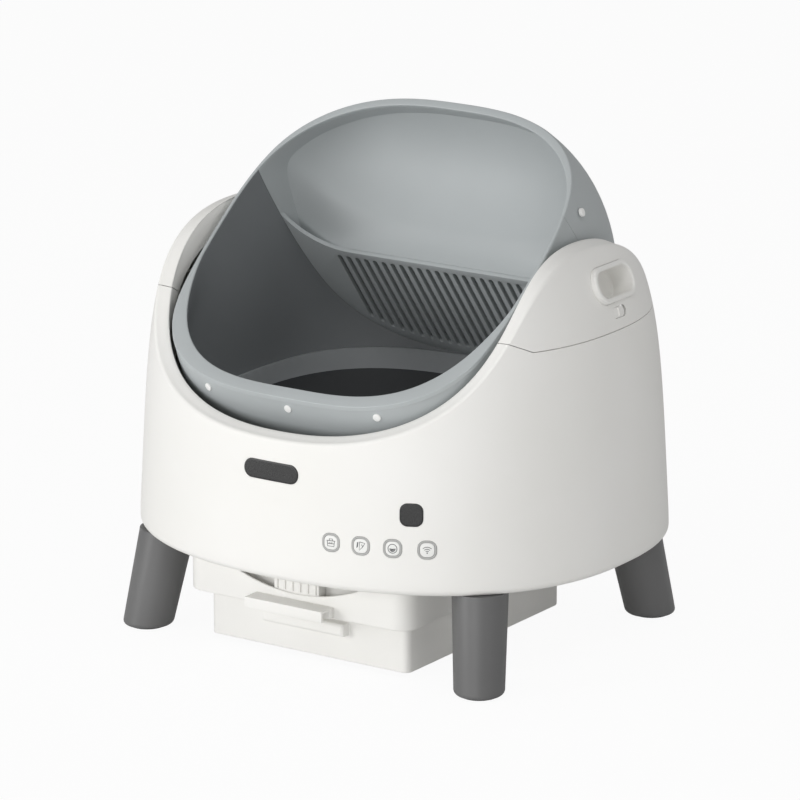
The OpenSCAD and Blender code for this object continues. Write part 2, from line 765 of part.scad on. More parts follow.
module drum_bowl() {
    color(drum_grey) drum_frame() difference() {
        intersection() {
            drum_wall_band();
            translate([-far / 2, split_h - far, opening_h - far]) cube([far, far, far]);
        }
        stud_seats();
    }
}

module drum_hood() {
    color(drum_grey) drum_frame() difference() {
        intersection() {
            drum_wall_band();
            translate([-far / 2, split_h, opening_h - far]) cube([far, far, far]);
        }
        stud_seats();
    }
}

// A stud is given by its place along X and its heights along and above the opening's direction
front_stud_h = opening_h - stud_drop;
function front_stud(x) = let (r = globe_r(x, drum_half_w, drum_r))
    [x, -sqrt(r * r - front_stud_h * front_stud_h), front_stud_h];
function side_stud(side, s, h) = [side * drum_half_w
    * pow(1 - pow(norm([s, h]) / drum_r, drum_power), 1 / drum_power), s, h];
studs = concat(
    [for (x = [-stud_x, 0, stud_x]) front_stud(x)],
    [for (side = ear_sides) side_stud(side, -side_stud_s, front_stud_h)],
    [for (side = ear_sides) side_stud(side, side_stud_s, opening_h - hood_stud_drop)]);

// Frame at the bottom of a stud's seat, with +Z out of the drum's wall
module stud_frame(p) {
    r = norm([p[1], p[2]]);
    out_x = sign(p[0]) * pow(abs(p[0]) / drum_half_w, drum_power - 1) / drum_half_w;
    out_r = pow(r / drum_r, drum_power - 1) / drum_r;
    translate(p) rotate([atan2(p[2], p[1]), 0, 0]) rotate([0, 0, -atan2(out_x, out_r)]) rotate([-90, 0, 0])
        translate([0, 0, -stud_sunk]) children();
}

module rim_studs() {
    color("white") drum_frame() for (s = studs) stud_frame(s)
        cylinder(r = stud_r, h = stud_sunk + stud_proud);
}

// Screen across the drum behind the bowl, below a U-shaped window
ridge_h = opening_h - screen_top;
pocket_overrun = 8;
module screen_outline() {
    side = drum_end_x - drum_end_t - fit_gap;
    steps = 8;
    corner = [for (i = [0 : steps]) [side - window_r + window_r * sin(90 * i / steps),
        ridge_h + window_r - window_r * cos(90 * i / steps)]];
    polygon(concat(corner, [[side, -drum_r], [-side, -drum_r]],
        [for (i = [steps : -1 : 0]) [-corner[i][0], corner[i][1]]]));
}

module screen_slots() {
    top = ridge_h - slot_top_band;
    for (i = [0 : slots_per_side - 1], side = ear_sides) {
        x = (i + 0.5) * slot_pitch;
        wall_r = globe_r(x, drum_half_w - drum_wall, drum_r - drum_wall);
        bottom = slot_end_band - sqrt(wall_r * wall_r - split_h * split_h);
        translate([side * x, (top + bottom) / 2]) rotate(90) pill(top - bottom, slot_w);
    }
}

module sifting_screen() {
    color(drum_grey) drum_frame() intersection() {
        translate([0, split_h + screen_t, 0]) rotate([90, 0, 0]) linear_extrude(screen_t) difference() {
            screen_outline();
            screen_slots();
        }
        globe_inner(fit_gap);
    }
}

// Lid of the pocket behind the screen: a shallow trough from the screen's edge to the hood's wall
module pocket_lid() {
    ridge = [split_h + screen_t + fit_gap, ridge_h];
    wall_r = drum_r - drum_wall;
    wall_end = [sqrt(wall_r * wall_r - pocket_end_h * pocket_end_h), pocket_end_h];
    chord = wall_end - ridge;
    half_chord = norm(chord) / 2;
    bend_r = (half_chord * half_chord + pocket_sag * pocket_sag) / (2 * pocket_sag);
    chord_turn = atan2(chord[1], chord[0]);
    centre = (ridge + wall_end) / 2 + (bend_r - pocket_sag) * [-sin(chord_turn), cos(chord_turn)];
    half_turn = asin(half_chord / bend_r) + pocket_overrun;
    steps = 14;
    arc = [for (i = [0 : steps]) chord_turn - 90 + half_turn * (2 * i / steps - 1)];
    band = concat([for (t = arc) centre + bend_r * [cos(t), sin(t)]],
        [for (i = [steps : -1 : 0]) centre + (bend_r + pocket_t) * [cos(arc[i]), sin(arc[i])]]);
    color(drum_grey) drum_frame() intersection() {
        rotate([90, 0, 90]) translate([0, 0, -far / 2]) linear_extrude(far) polygon(band);
        globe_inner(fit_gap);
        translate([-far / 2, ridge[0], -far / 2]) cube([far, far, far]);
    }
}

module floor_liner() {
    color(liner_grey) intersection() {
        drum_frame() intersection() {
            difference() {
                globe_inner(fit_gap);
                globe_inner(fit_gap + liner_t);
            }
            translate([-far / 2, split_h - fit_gap - far, -far / 2]) cube([far, far, far]);
        }
        translate([-far / 2, -far / 2, liner_z - far]) cube([far, far, far]);
    }
}

// Trunnions carry the drum in the posts
trunnion_screw_r = 2;
trunnion_screw_ring = 38;
trunnion_screw_turns = [0 : 90 : 270];
module right_pivot() {
    translate([0, 0, axis_z]) difference() {
        union() {
            translate([drum_end_x, 0, 0]) rotate([0, 90, 0])
                cylinder(r = trunnion_flange_r, h = trunnion_flange_t);
            translate([drum_end_x, 0, 0]) rotate([0, 90, 0])
                cylinder(r = shaft_r, h = shaft_end_x - drum_end_x);
        }
        for (t = trunnion_screw_turns) rotate([t, 0, 0])
            translate([drum_end_x - cut_over, trunnion_screw_ring, 0]) rotate([0, 90, 0])
            cylinder(r = trunnion_screw_r + run_gap, h = trunnion_flange_t + 2 * cut_over);
    }
}

module left_trunnion() { color(steel) mirror([1, 0, 0]) right_pivot(); }
module right_trunnion() { color(steel) right_pivot(); }

// The screws sit flush in the flanges, under the gear
module trunnion_screws() {
    color(steel) for (side = ear_sides, t = trunnion_screw_turns)
        translate([side * drum_end_x, 0, axis_z]) rotate([t, 0, 0]) translate([0, trunnion_screw_ring, 0])
            rotate([0, side * 90, 0]) cylinder(r = trunnion_screw_r, h = trunnion_flange_t);
}

// Gear outline with straight-sided teeth, one of them on the +X side
tooth_over = 0.85;
tooth_under = 1.2;
root_spread = 1.5;
tip_spread = 0.45;
module gear_outline(teeth) {
    pitch_r = gear_module * teeth / 2;
    tip_r = pitch_r + tooth_over * gear_module;
    root_r = pitch_r - tooth_under * gear_module;
    half_t = 180 / teeth * tooth_share;
    tooth = [[root_r, -root_spread], [tip_r, -tip_spread], [tip_r, tip_spread], [root_r, root_spread]];
    polygon([for (k = [0 : teeth - 1], q = tooth)
        q[0] * [cos(360 * k / teeth + q[1] * half_t), sin(360 * k / teeth + q[1] * half_t)]]);
}

module ring_gear() {
    color(gear_white) translate([drum_face_x, 0, axis_z]) rotate([90, 0, 90]) rotate(pinion_turn)
        linear_extrude(gear_w) difference() {
            gear_outline(ring_teeth);
            circle(ring_bore_r);
        }
}

shaft_seat_l = 10;
shaft_room = 1.5;
module drive_pinion() {
    half_pitch = 180 / pinion_teeth;
    color(gear_white) translate([drum_face_x, pinion_y, pinion_z]) {
        rotate([90, 0, 90]) rotate(pinion_turn + 180 + half_pitch) linear_extrude(gear_w)
            gear_outline(pinion_teeth);
        rotate([0, 90, 0]) cylinder(r = pinion_shaft_r, h = post_end_x - drum_face_x + shaft_seat_l);
    }
}

module gear_motor() {
    color(steel) difference() {
        union() {
            translate([post_end_x, pinion_y - gearbox_d / 2, pinion_z - gearbox_under_h])
                cube([gearbox_t, gearbox_d, gearbox_over_h + gearbox_under_h]);
            translate([post_end_x + gearbox_t / 2, pinion_y, pinion_z - gearbox_under_h - motor_can_l])
                cylinder(r = motor_can_r, h = motor_can_l + eps);
        }
        translate([post_end_x - cut_over, pinion_y, pinion_z]) rotate([0, 90, 0])
            cylinder(r = pinion_shaft_r + run_gap, h = shaft_seat_l + shaft_room);
    }
}

// Posts stand on the pan and hold the bushes
post_foot_w = 26;
post_foot_t = 6;
post_half_d = 62;
post_foot_screws = [-45, 45];
module right_post() {
    shoulder = 40;
    color(white) difference() {
        union() {
            translate([post_x, 0, 0]) rotate([90, 0, 90]) linear_extrude(post_t) {
                polygon([[-post_half_d, pan_top_z], [post_half_d, pan_top_z],
                    [post_half_d, pinion_z + shoulder / 2], [post_head_r, axis_z],
                    [-post_head_r, axis_z], [-post_half_d / 2, pinion_z]]);
                translate([0, axis_z]) circle(post_head_r);
            }
            translate([post_x, -post_half_d, pan_top_z]) cube([post_foot_w, 2 * post_half_d, post_foot_t]);
        }
        translate([post_x - cut_over, 0, axis_z]) rotate([0, 90, 0])
            cylinder(r = shaft_r + run_gap + bush_wall + run_gap, h = post_t + 2 * cut_over);
        translate([post_x - cut_over, pinion_y, pinion_z]) rotate([0, 90, 0])
            cylinder(r = pinion_shaft_r + shaft_room, h = post_t + 2 * cut_over);
        for (y = post_foot_screws) translate([post_screw_x, y, 0])
            cylinder(r = pan_screw_r + fit_gap, h = far / 2);
    }
}

post_screw_x = (post_end_x + post_x + post_foot_w) / 2;
module left_bearing_post() { mirror([1, 0, 0]) right_post(); }
module right_bearing_post() { right_post(); }

module bush(side) {
    color(bronze) translate([side * (post_x + post_t / 2), 0, axis_z]) rotate([0, 90, 0]) difference() {
        cylinder(r = shaft_r + run_gap + bush_wall, h = post_t, center = true);
        cylinder(r = shaft_r + run_gap, h = post_t + 2 * cut_over, center = true);
    }
}
module left_bush() { bush(-1); }
module right_bush() { bush(1); }

// The heads rest on the posts' feet, and the shanks end on the pan
module post_screws() {
    color(steel) for (side = ear_sides, y = post_foot_screws)
        translate([side * post_screw_x, y, pan_top_z + post_foot_t])
            screw(pan_screw_r, post_foot_t, pan_screw_r);
}

// Home position: a magnet on the left trunnion passes a sensor on the left post
home_r = 30;
module home_magnet() {
    magnet_r = 4;
    magnet_t = 3;
    color(steel) translate([-drum_face_x - magnet_t, 0, axis_z - home_r]) rotate([0, 90, 0])
        cylinder(r = magnet_r, h = magnet_t);
}
module home_sensor() {
    side = 14;
    color(board_green) translate([-post_x, -side / 2, axis_z - home_r - side / 2])
        cube([board_t, side, side]);
}

// Front panel
module display_window() {
    color(lens_black) on_front(0, display_z) inward(panel_proud, window_t) display_outline(0);
}
module sensor_window() {
    color(lens_black) on_front(sensor_x, sensor_z) inward(panel_proud, window_t) sensor_outline(0);
}
module board_behind(w, h, depth) { translate([-w / 2, depth, -h / 2]) cube([w, board_t, h]); }
module display_board() {
    margin = 6;
    color(board_green) on_front(0, display_z) board_behind(display_l + margin, display_h + margin, window_t);
}
module sensor_board() {
    margin = 3;
    side = sensor_side + margin;
    color(board_green) on_front(sensor_x, sensor_z) board_behind(side, side, window_t);
}

key_guide = 9;
key_t = 5;
module key_rings() {
    color(ring_grey) for (i = [0 : 3]) on_front(key_place(i), key_z) inward(panel_proud / 2, key_guide)
        difference() {
            key_outline(0);
            key_outline(key_ring_w);
        }
}
module key_boards() {
    plunger_r = 2.5;
    plunger_h = key_guide - key_t - key_travel - fit_gap;
    color(board_green) for (i = [0 : 3]) on_front(key_place(i), key_z) {
        board_behind(key_ring_side, key_ring_side, key_guide);
        translate([0, key_guide + eps, 0]) rotate([90, 0, 0]) cylinder(r = plunger_r, h = plunger_h);
    }
}
module key(i) {
    color(white) on_front(key_place(i), key_z) inward(panel_proud, key_t) key_outline(key_ring_w + fit_gap);
}
module key_empty() { key(0); }
module key_clean() { key(1); }
module key_pause() { key(2); }
module key_wireless() { key(3); }

// Control board upright on the pan, beside the left post
module control_board() {
    board_w = 90;
    board_h = 58;
    post_clear = 4;
    x = -post_x - post_foot_w - post_clear;
    chips = [[-30, 16, 14], [0, 34, 20], [26, 18, 12]];
    chip_t = 3;
    color(board_green) {
        translate([x - board_t, -board_w / 2, pan_top_z]) cube([board_t, board_w, board_h]);
        for (c = chips) translate([x - eps, c[0] - c[2] / 2, pan_top_z + c[1]]) cube([chip_t, c[2], c[2]]);
    }
}

// Power inlet in the back wall
inlet_z = shell_bottom_z + inlet_h;
inlet_proud = 1;
inlet_face_y = inlet_proud + half_d(inlet_z) * other_leg(inlet_x / half_w(inlet_z));
module power_inlet() {
    back_t = 5;
    body_l = inlet_bore_l + back_t;
    color(lens_black) translate([inlet_x, inlet_face_y, inlet_z]) rotate([90, 0, 0]) difference() {
        cylinder(r = inlet_r, h = body_l);
        translate([0, 0, -cut_over]) cylinder(r = inlet_bore_r, h = inlet_bore_l + cut_over);
    }
}

// Drawer: a frame on rails, a bin that hangs in it, and what they hold
frame_mid_y = (frame_front_y + frame_back_y) / 2;
frame_d = frame_back_y - frame_front_y;
bin_mid_y = (bin_front_y + bin_back_y) / 2;
bin_d = bin_back_y - bin_front_y;
runner_t = 3;
runner_z = drawer_top_z - runner_t;
rail_wall = 4;

module frame_outline(inset) {
    translate([0, frame_mid_y])
        rounded_box(2 * (frame_half_w - inset), frame_d - 2 * inset, drawer_corner_r - inset);
}
module bin_outline(inset) {
    translate([0, bin_mid_y])
        rounded_box(2 * (bin_half_w - inset), bin_d - 2 * inset, bin_corner_r - inset);
}

module drawer_frame() {
    runner_y = frame_front_y + 2 * drawer_corner_r;
    color(white) difference() {
        union() {
            translate([0, 0, frame_bottom_z]) linear_extrude(drawer_top_z - frame_bottom_z) frame_outline(0);
            translate([-frame_half_w - runner_w, runner_y, runner_z])
                cube([2 * (frame_half_w + runner_w), frame_back_y - drawer_corner_r - runner_y, runner_t]);
        }
        translate([0, 0, frame_bottom_z + drawer_wall]) linear_extrude(far) frame_outline(drawer_wall);
        translate([0, 0, frame_bottom_z - cut_over]) linear_extrude(far) bin_outline(-fit_gap);
        translate([0, frame_front_y + drawer_corner_r / 2, smile_z + smile_r]) rotate([90, 0, 0])
            cylinder(r = smile_r, h = drawer_corner_r, $fn = 128);
    }
}

module drawer_handle() {
    lip_d = 3;
    notch_l = 8;
    notch_d = 3;
    color(white) translate([-bar_l / 2, frame_front_y - bar_reach, bar_z]) difference() {
        cube([bar_l, bar_reach, bar_h]);
        translate([-cut_over, lip_d, -cut_over])
            cube([bar_l + 2 * cut_over, bar_reach - 3 * lip_d, bar_h - lip_d + cut_over]);
        for (s = ear_sides) translate([bar_l / 2 + s * bar_l / 4, bar_reach, bar_h])
            cube([notch_l, notch_d, notch_d], center = true);
    }
}

module waste_bin() {
    flange_z = frame_bottom_z + drawer_wall;
    grip_drop = 10;
    color(white) difference() {
        union() {
            translate([0, 0, bin_bottom_z]) linear_extrude(flange_z - bin_bottom_z + drawer_wall)
                bin_outline(0);
            translate([0, 0, flange_z]) linear_extrude(drawer_wall) bin_outline(-bin_flange_w);
            translate([-grip_l / 2, bin_front_y - grip_reach, frame_bottom_z - grip_h - grip_drop])
                cube([grip_l, grip_reach + drawer_wall, grip_h]);
        }
        translate([0, 0, bin_bottom_z + drawer_wall]) linear_extrude(far) bin_outline(drawer_wall);
    }
}

// Ring that clamps the bag on the bin's edge
module bag_ring() {
    ring_h = 5;
    color(ring_grey) translate([0, 0, frame_bottom_z + 2 * drawer_wall]) linear_extrude(ring_h) difference() {
        bin_outline(-bin_flange_w / 2);
        bin_outline(drawer_wall);
    }
}

// Ribbed holder on the frame's floor behind the curved cut, and the cartridge in it
cartridge_y = frame_front_y + drawer_wall;
holder_wall = 2;
module cartridge_holder() {
    ribs = 3;
    rib_t = 1;
    w = cartridge_w + 2 * (holder_wall + fit_gap);
    d = cartridge_d + 2 * (holder_wall + fit_gap);
    floor_up = frame_bottom_z + drawer_wall;
    held_share = 0.8;
    inner_h = cartridge_h * held_share;
    color(white) translate([-w / 2, cartridge_y, floor_up]) {
        difference() {
            cube([w, d, holder_wall + inner_h]);
            translate(holder_wall * [1, 1, 1]) cube([w - 2 * holder_wall, d - 2 * holder_wall, far]);
        }
        for (k = [1 : ribs]) translate([0, d - eps, k * inner_h / (ribs + 1)]) cube([w, rib_t, rib_t]);
    }
}
module odour_cartridge() {
    base_z = frame_bottom_z + drawer_wall + holder_wall;
    color(ring_grey) translate([-cartridge_w / 2, cartridge_y + holder_wall + fit_gap, base_z])
        cube([cartridge_w, cartridge_d, cartridge_h]);
}

// A rail hooks under the drawer's running flange
module right_rail() {
    ledge_t = 4;
    side_gap = 1;
    inner_x = frame_half_w + side_gap;
    outer_x = frame_half_w + runner_w + side_gap;
    color(steel) translate([0, -rail_l / 2, 0]) {
        translate([outer_x, 0, runner_z - rail_gap - ledge_t])
            cube([rail_wall, rail_l, floor_z - runner_z + rail_gap + ledge_t]);
        translate([inner_x, 0, runner_z - rail_gap - ledge_t])
            cube([outer_x - inner_x + eps, rail_l, ledge_t]);
    }
}
module left_drawer_rail() { mirror([1, 0, 0]) right_rail(); }
module right_drawer_rail() { right_rail(); }

base_shell();
base_pan();
waste_chute();
left_ear_cap();
right_ear_cap();
left_handle_cup();
right_handle_cup();
left_latch();
right_latch();
front_left_leg();
front_right_leg();
rear_left_leg();
rear_right_leg();
rubber_feet();
leg_screws();
pan_screws();
drum_bowl();
drum_hood();
sifting_screen();
pocket_lid();
floor_liner();
rim_studs();
left_trunnion();
right_trunnion();
trunnion_screws();
ring_gear();
drive_pinion();
gear_motor();
left_bearing_post();
right_bearing_post();
left_bush();
right_bush();
post_screws();
home_magnet();
home_sensor();
display_window();
display_board();
sensor_window();
sensor_board();
key_rings();
key_boards();
key_empty();
key_clean();
key_pause();
key_wireless();
control_board();
power_inlet();
left_drawer_rail();
right_drawer_rail();
drawer_frame();
drawer_handle();
waste_bin();
bag_ring();
cartridge_holder();
odour_cartridge();
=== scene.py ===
# %% [markdown]
# # An open-top litter box that cleans itself
# A white domed shell stands on four leaning legs. A grey drum with a tilted opening turns inside it,
# a drawer slides under it, and two ear caps lift off its sides. The CAD model gives every size and
# every moving body. This lesson gives each piece its soft edges and its finish, and takes its picture.

# %% Load the frame
import json
import math

import bpy
from mathutils import Matrix, Vector

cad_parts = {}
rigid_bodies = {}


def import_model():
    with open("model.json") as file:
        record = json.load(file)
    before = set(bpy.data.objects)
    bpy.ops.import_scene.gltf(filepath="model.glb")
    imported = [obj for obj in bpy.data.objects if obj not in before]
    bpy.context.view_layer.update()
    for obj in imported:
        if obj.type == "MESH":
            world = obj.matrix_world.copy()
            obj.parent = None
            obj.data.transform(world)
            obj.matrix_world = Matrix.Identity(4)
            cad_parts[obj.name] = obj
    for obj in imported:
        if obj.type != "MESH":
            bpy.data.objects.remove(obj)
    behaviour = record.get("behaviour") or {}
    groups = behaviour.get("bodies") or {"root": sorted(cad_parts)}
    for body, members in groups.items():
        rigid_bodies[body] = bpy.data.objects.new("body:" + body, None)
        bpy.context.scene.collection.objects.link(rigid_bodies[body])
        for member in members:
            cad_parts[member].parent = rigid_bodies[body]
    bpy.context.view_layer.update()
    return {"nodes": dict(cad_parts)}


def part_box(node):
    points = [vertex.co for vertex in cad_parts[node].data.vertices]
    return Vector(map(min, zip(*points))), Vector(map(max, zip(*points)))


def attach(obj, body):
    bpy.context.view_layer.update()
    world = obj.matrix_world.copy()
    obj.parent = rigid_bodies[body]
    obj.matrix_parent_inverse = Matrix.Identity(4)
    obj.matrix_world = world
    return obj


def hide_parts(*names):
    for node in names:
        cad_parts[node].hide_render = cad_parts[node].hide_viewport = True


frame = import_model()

MM = 0.001

# %% [markdown]
# Every operator acts on what is selected, so the first helpers select one object, or those of its
# vertices, edges or faces that pass a test. The next ones apply a modifier, join pieces, round their
# edges and shade them. The last one hands a finished piece to the body that carries it.

# %% Helpers for selecting and finishing
def alone(obj=None):
    """Goes to object mode and selects this object only, or nothing."""
    if bpy.context.mode != "OBJECT":
        bpy.ops.object.mode_set(mode="OBJECT")
    bpy.ops.object.select_all(action="DESELECT")
    if obj:
        bpy.context.view_layer.objects.active = obj
        obj.select_set(True)


def named(name):
    """Names the object that was just added."""
    obj = bpy.context.object
    obj.name = obj.data.name = name
    return obj


def pick(obj, kind, test):
    """Selects the vertices, edges or faces that pass the test, and stays in edit mode."""
    alone(obj)
    bpy.ops.object.mode_set(mode="EDIT")
    bpy.ops.mesh.select_mode(type=kind)
    bpy.ops.mesh.select_all(action="DESELECT")
    bpy.ops.object.mode_set(mode="OBJECT")
    mesh = obj.data
    for item in {"VERT": mesh.vertices, "EDGE": mesh.edges, "FACE": mesh.polygons}[kind]:
        item.select = bool(test(item))
    bpy.ops.object.mode_set(mode="EDIT")


def ends(obj, edge):
    """The two end points of an edge, in millimetres."""
    return [obj.data.vertices[i].co / MM for i in edge.vertices]


def modified(obj, kind, **settings):
    """Adds a modifier, sets it and applies it."""
    alone(obj)
    change = obj.modifiers.new(kind.lower(), kind)
    for key, value in settings.items():
        setattr(change, key, value)
    bpy.ops.object.modifier_apply(modifier=change.name)


def settled(obj, place=None):
    """Puts the object at its place, and moves that place into its mesh."""
    if place is not None:
        obj.matrix_world = place
    alone(obj)
    bpy.ops.object.transform_apply(location=True, rotation=True, scale=True)
    return obj


def smoothed(obj, angle):
    """Shades the object smooth, apart from edges that are sharper than an angle in degrees."""
    alone(obj)
    bpy.ops.object.shade_smooth_by_angle(angle=math.radians(angle))
    return obj


def faced_out(obj):
    """Turns all faces of a closed shape outwards."""
    alone(obj)
    bpy.ops.object.mode_set(mode="EDIT")
    bpy.ops.mesh.select_all(action="SELECT")
    bpy.ops.mesh.normals_make_consistent(inside=False)
    alone(obj)
    return obj


def joined(pieces, name):
    """Makes several objects one, under a new name."""
    alone(pieces[0])
    for piece in pieces[1:]:
        piece.select_set(True)
    bpy.ops.object.join()
    return named(name)


def rounded(obj, width, segments=3, angle=35):
    """Bevels every sharp edge, and shades what is left smooth."""
    alone(obj)
    bpy.ops.object.mode_set(mode="EDIT")
    bpy.ops.mesh.select_mode(type="EDGE")
    bpy.ops.mesh.select_all(action="DESELECT")
    bpy.ops.mesh.edges_select_sharp(sharpness=math.radians(angle))
    bpy.ops.mesh.bevel(offset=width * MM, segments=segments, affect="EDGES", clamp_overlap=True)
    return smoothed(obj, angle)


def hand_over(obj, body, slot, finish, *nodes):
    """Gives a finished piece its material and its body, and hides the nodes it stands for. The slot is not
    used.
    """
    settled(obj)
    if not obj.data.materials:
        obj.data.materials.append(finish)
    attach(obj, body)
    if nodes:
        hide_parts(*nodes)
    print(f"{obj.name}: {len(obj.data.polygons)} faces, rides on {body}")
    return obj

# %% [markdown]
# Moulded plastic is never one flat colour. Its tone drifts a little over a hand's width, and the mould
# leaves a fine grain that breaks up the gloss. One node group makes both from Object coordinates, and
# each plastic in this model uses it with its own colours and grain.

# %% The moulded surface group
def srgb(red, green, blue):
    """A colour as a screen shows it, from 0 to 255, as Blender's linear values."""
    linear = [c / 3294.6 if c <= 10.3 else ((c / 255 + 0.055) / 1.055) ** 2.4 for c in (red, green, blue)]
    return (*linear, 1.0)


def new_group(name, inputs, outputs):
    """An empty shader node group with these sockets."""
    group = bpy.data.node_groups.new(name, "ShaderNodeTree")
    for kind, sockets in (("INPUT", inputs), ("OUTPUT", outputs)):
        for label, socket in sockets:
            group.interface.new_socket(label, in_out=kind, socket_type="NodeSocket" + socket)
    return group, group.nodes.new("NodeGroupInput"), group.nodes.new("NodeGroupOutput")


moulded, given, made = new_group(
    "moulded_surface",
    [("Colour", "Color"), ("Shade", "Color"), ("Drift scale", "Float"), ("Grain scale", "Float"),
     ("Roughness", "Float")],
    [("Colour", "Color"), ("Roughness", "Float"), ("Height", "Float")])
place = moulded.nodes.new("ShaderNodeTexCoord")
drift = moulded.nodes.new("ShaderNodeTexNoise")
drift.inputs["Detail"].default_value = 3
spread = moulded.nodes.new("ShaderNodeMapRange")
spread.inputs["From Min"].default_value = 0.3
spread.inputs["From Max"].default_value = 0.7
mix = moulded.nodes.new("ShaderNodeMix")
mix.data_type = "RGBA"
grain = moulded.nodes.new("ShaderNodeTexNoise")
grain.inputs["Detail"].default_value = 2
gloss = moulded.nodes.new("ShaderNodeMath")
gloss.operation = "MULTIPLY_ADD"
gloss.inputs[1].default_value = 0.14
for start, end in (
        (place.outputs["Object"], drift.inputs["Vector"]),
        (given.outputs["Drift scale"], drift.inputs["Scale"]),
        (drift.outputs["Fac"], spread.inputs["Value"]), (spread.outputs["Result"], mix.inputs["Factor"]),
        (given.outputs["Colour"], mix.inputs["A"]), (given.outputs["Shade"], mix.inputs["B"]),
        (place.outputs["Object"], grain.inputs["Vector"]),
        (given.outputs["Grain scale"], grain.inputs["Scale"]),
        (grain.outputs["Fac"], gloss.inputs[0]), (given.outputs["Roughness"], gloss.inputs[2])):
    moulded.links.new(start, end)
moulded.links.new([s for s in mix.outputs if s.type == "RGBA"][0], made.inputs["Colour"])
moulded.links.new(gloss.outputs["Value"], made.inputs["Roughness"])
moulded.links.new(grain.outputs["Fac"], made.inputs["Height"])
print("group:", moulded.name, [s.name for s in made.inputs if s.name])


# %% Plastics
def surface(name, group, values, bump_mm, **constants):
    """A material whose colour, roughness and bump come from a group."""
    material = bpy.data.materials.new(name)
    material.use_nodes = True
    nodes, links = material.node_tree.nodes, material.node_tree.links
    shader = nodes["Principled BSDF"]
    holder = nodes.new("ShaderNodeGroup")
    holder.node_tree = group
    for key, value in values.items():
        holder.inputs[key].default_value = value
    bump = nodes.new("ShaderNodeBump")
    bump.inputs["Distance"].default_value = bump_mm * MM
    bump.inputs["Strength"].default_value = 0.4
    links.new(holder.outputs["Colour"], shader.inputs["Base Color"])
    links.new(holder.outputs["Roughness"], shader.inputs["Roughness"])
    links.new(holder.outputs["Height"], bump.inputs["Height"])
    links.new(bump.outputs["Normal"], shader.inputs["Normal"])
    for key, value in constants.items():
        shader.inputs[key.replace("_", " ")].default_value = value
    return material


def plastic(name, colour, shade, roughness, grain_scale=1600, bump_mm=0.08, drift_scale=7, **constants):
    return surface(name, moulded, {
        "Colour": srgb(*colour), "Shade": srgb(*shade), "Drift scale": drift_scale,
        "Grain scale": grain_scale, "Roughness": roughness}, bump_mm, **constants)


shell_white = plastic("shell_white_plastic", (241, 240, 237), (238, 237, 233), 0.42)
drawer_white = plastic("drawer_white_plastic", (241, 240, 237), (236, 235, 231), 0.4)
key_white = plastic("key_white_plastic", (240, 240, 238), (236, 236, 233), 0.38)
drum_grey = plastic("drum_grey_plastic", (180, 185, 186), (175, 180, 181), 0.46)
bowl_dark = plastic("bowl_lining_plastic", (124, 127, 129), (118, 121, 123), 0.5)
liner_dark = plastic("liner_dark_rubber", (66, 68, 70), (58, 60, 62), 0.62, 900, 0.2)
# the liner's edge band: a lighter grey painted in as a highlight, for light caught by the mat's ledge
painted_highlight_band = plastic("liner_rubber_painted_highlight", (156, 159, 161), (149, 152, 154), 0.55, 900, 0.15)
stud_white = plastic("stud_white_plastic", (246, 246, 244), (242, 242, 240), 0.25)
leg_grey = plastic("leg_grey_plastic", (106, 106, 106), (100, 100, 100), 0.36, 1200, 0.1)
foot_rubber = plastic("foot_black_rubber", (40, 40, 40), (34, 34, 34), 0.7, 700, 0.25)
lens_black = plastic("lens_smoked_plastic", (50, 50, 50), (45, 45, 45), 0.2, 2000, 0.01)
lens_edge = plastic("lens_edge_plastic", (34, 34, 34), (29, 29, 29), 0.3, 2000, 0.02)
ring_grey = plastic("ring_grey_plastic", (180, 180, 178), (174, 174, 172), 0.36)
icon_grey = plastic("icon_grey_print", (98, 99, 100), (92, 93, 94), 0.5, 2500, 0.02)
gear_cream = plastic("gear_cream_plastic", (226, 222, 208), (220, 215, 200), 0.34)
inlet_black = plastic("inlet_black_plastic", (30, 30, 30), (24, 24, 24), 0.4)
board_green = plastic("board_green_resist", (22, 92, 58), (14, 70, 44), 0.35, 500, 0.1, 90)
print("plastics:", len(bpy.data.materials))

# %% [markdown]
# Steel and bronze pieces sit inside: shafts, bushes, rails, screws and the motor. Drawn metal shows
# long fine lines, which come from noise that is stretched along one direction by a Mapping node.

# %% The drawn metal group
drawn, given, made = new_group(
    "drawn_metal",
    [("Colour", "Color"), ("Shade", "Color"), ("Roughness", "Float")],
    [("Colour", "Color"), ("Roughness", "Float"), ("Height", "Float")])
place = drawn.nodes.new("ShaderNodeTexCoord")
stretch = drawn.nodes.new("ShaderNodeMapping")
stretch.inputs["Scale"].default_value = (40, 1400, 1400)
lines = drawn.nodes.new("ShaderNodeTexNoise")
lines.inputs["Scale"].default_value = 1
lines.inputs["Detail"].default_value = 4
mix = drawn.nodes.new("ShaderNodeMix")
mix.data_type = "RGBA"
gloss = drawn.nodes.new("ShaderNodeMath")
gloss.operation = "MULTIPLY_ADD"
gloss.inputs[1].default_value = 0.2
for start, end in (
        (place.outputs["Object"], stretch.inputs["Vector"]),
        (stretch.outputs["Vector"], lines.inputs["Vector"]),
        (lines.outputs["Fac"], mix.inputs["Factor"]), (given.outputs["Colour"], mix.inputs["A"]),
        (given.outputs["Shade"], mix.inputs["B"]), (lines.outputs["Fac"], gloss.inputs[0]),
        (given.outputs["Roughness"], gloss.inputs[2]), (gloss.outputs["Value"], made.inputs["Roughness"]),
        (lines.outputs["Fac"], made.inputs["Height"])):
    drawn.links.new(start, end)
drawn.links.new([s for s in mix.outputs if s.type == "RGBA"][0], made.inputs["Colour"])


def metal(name, colour, shade, roughness):
    return surface(name, drawn, {"Colour": srgb(*colour), "Shade": srgb(*shade), "Roughness": roughness},
                   0.02, Metallic=1.0)


steel = metal("plated_steel", (196, 198, 202), (170, 172, 176), 0.24)
bronze = metal("sintered_bronze", (186, 142, 84), (158, 116, 66), 0.36)
print("metals:", steel.name, bronze.name)

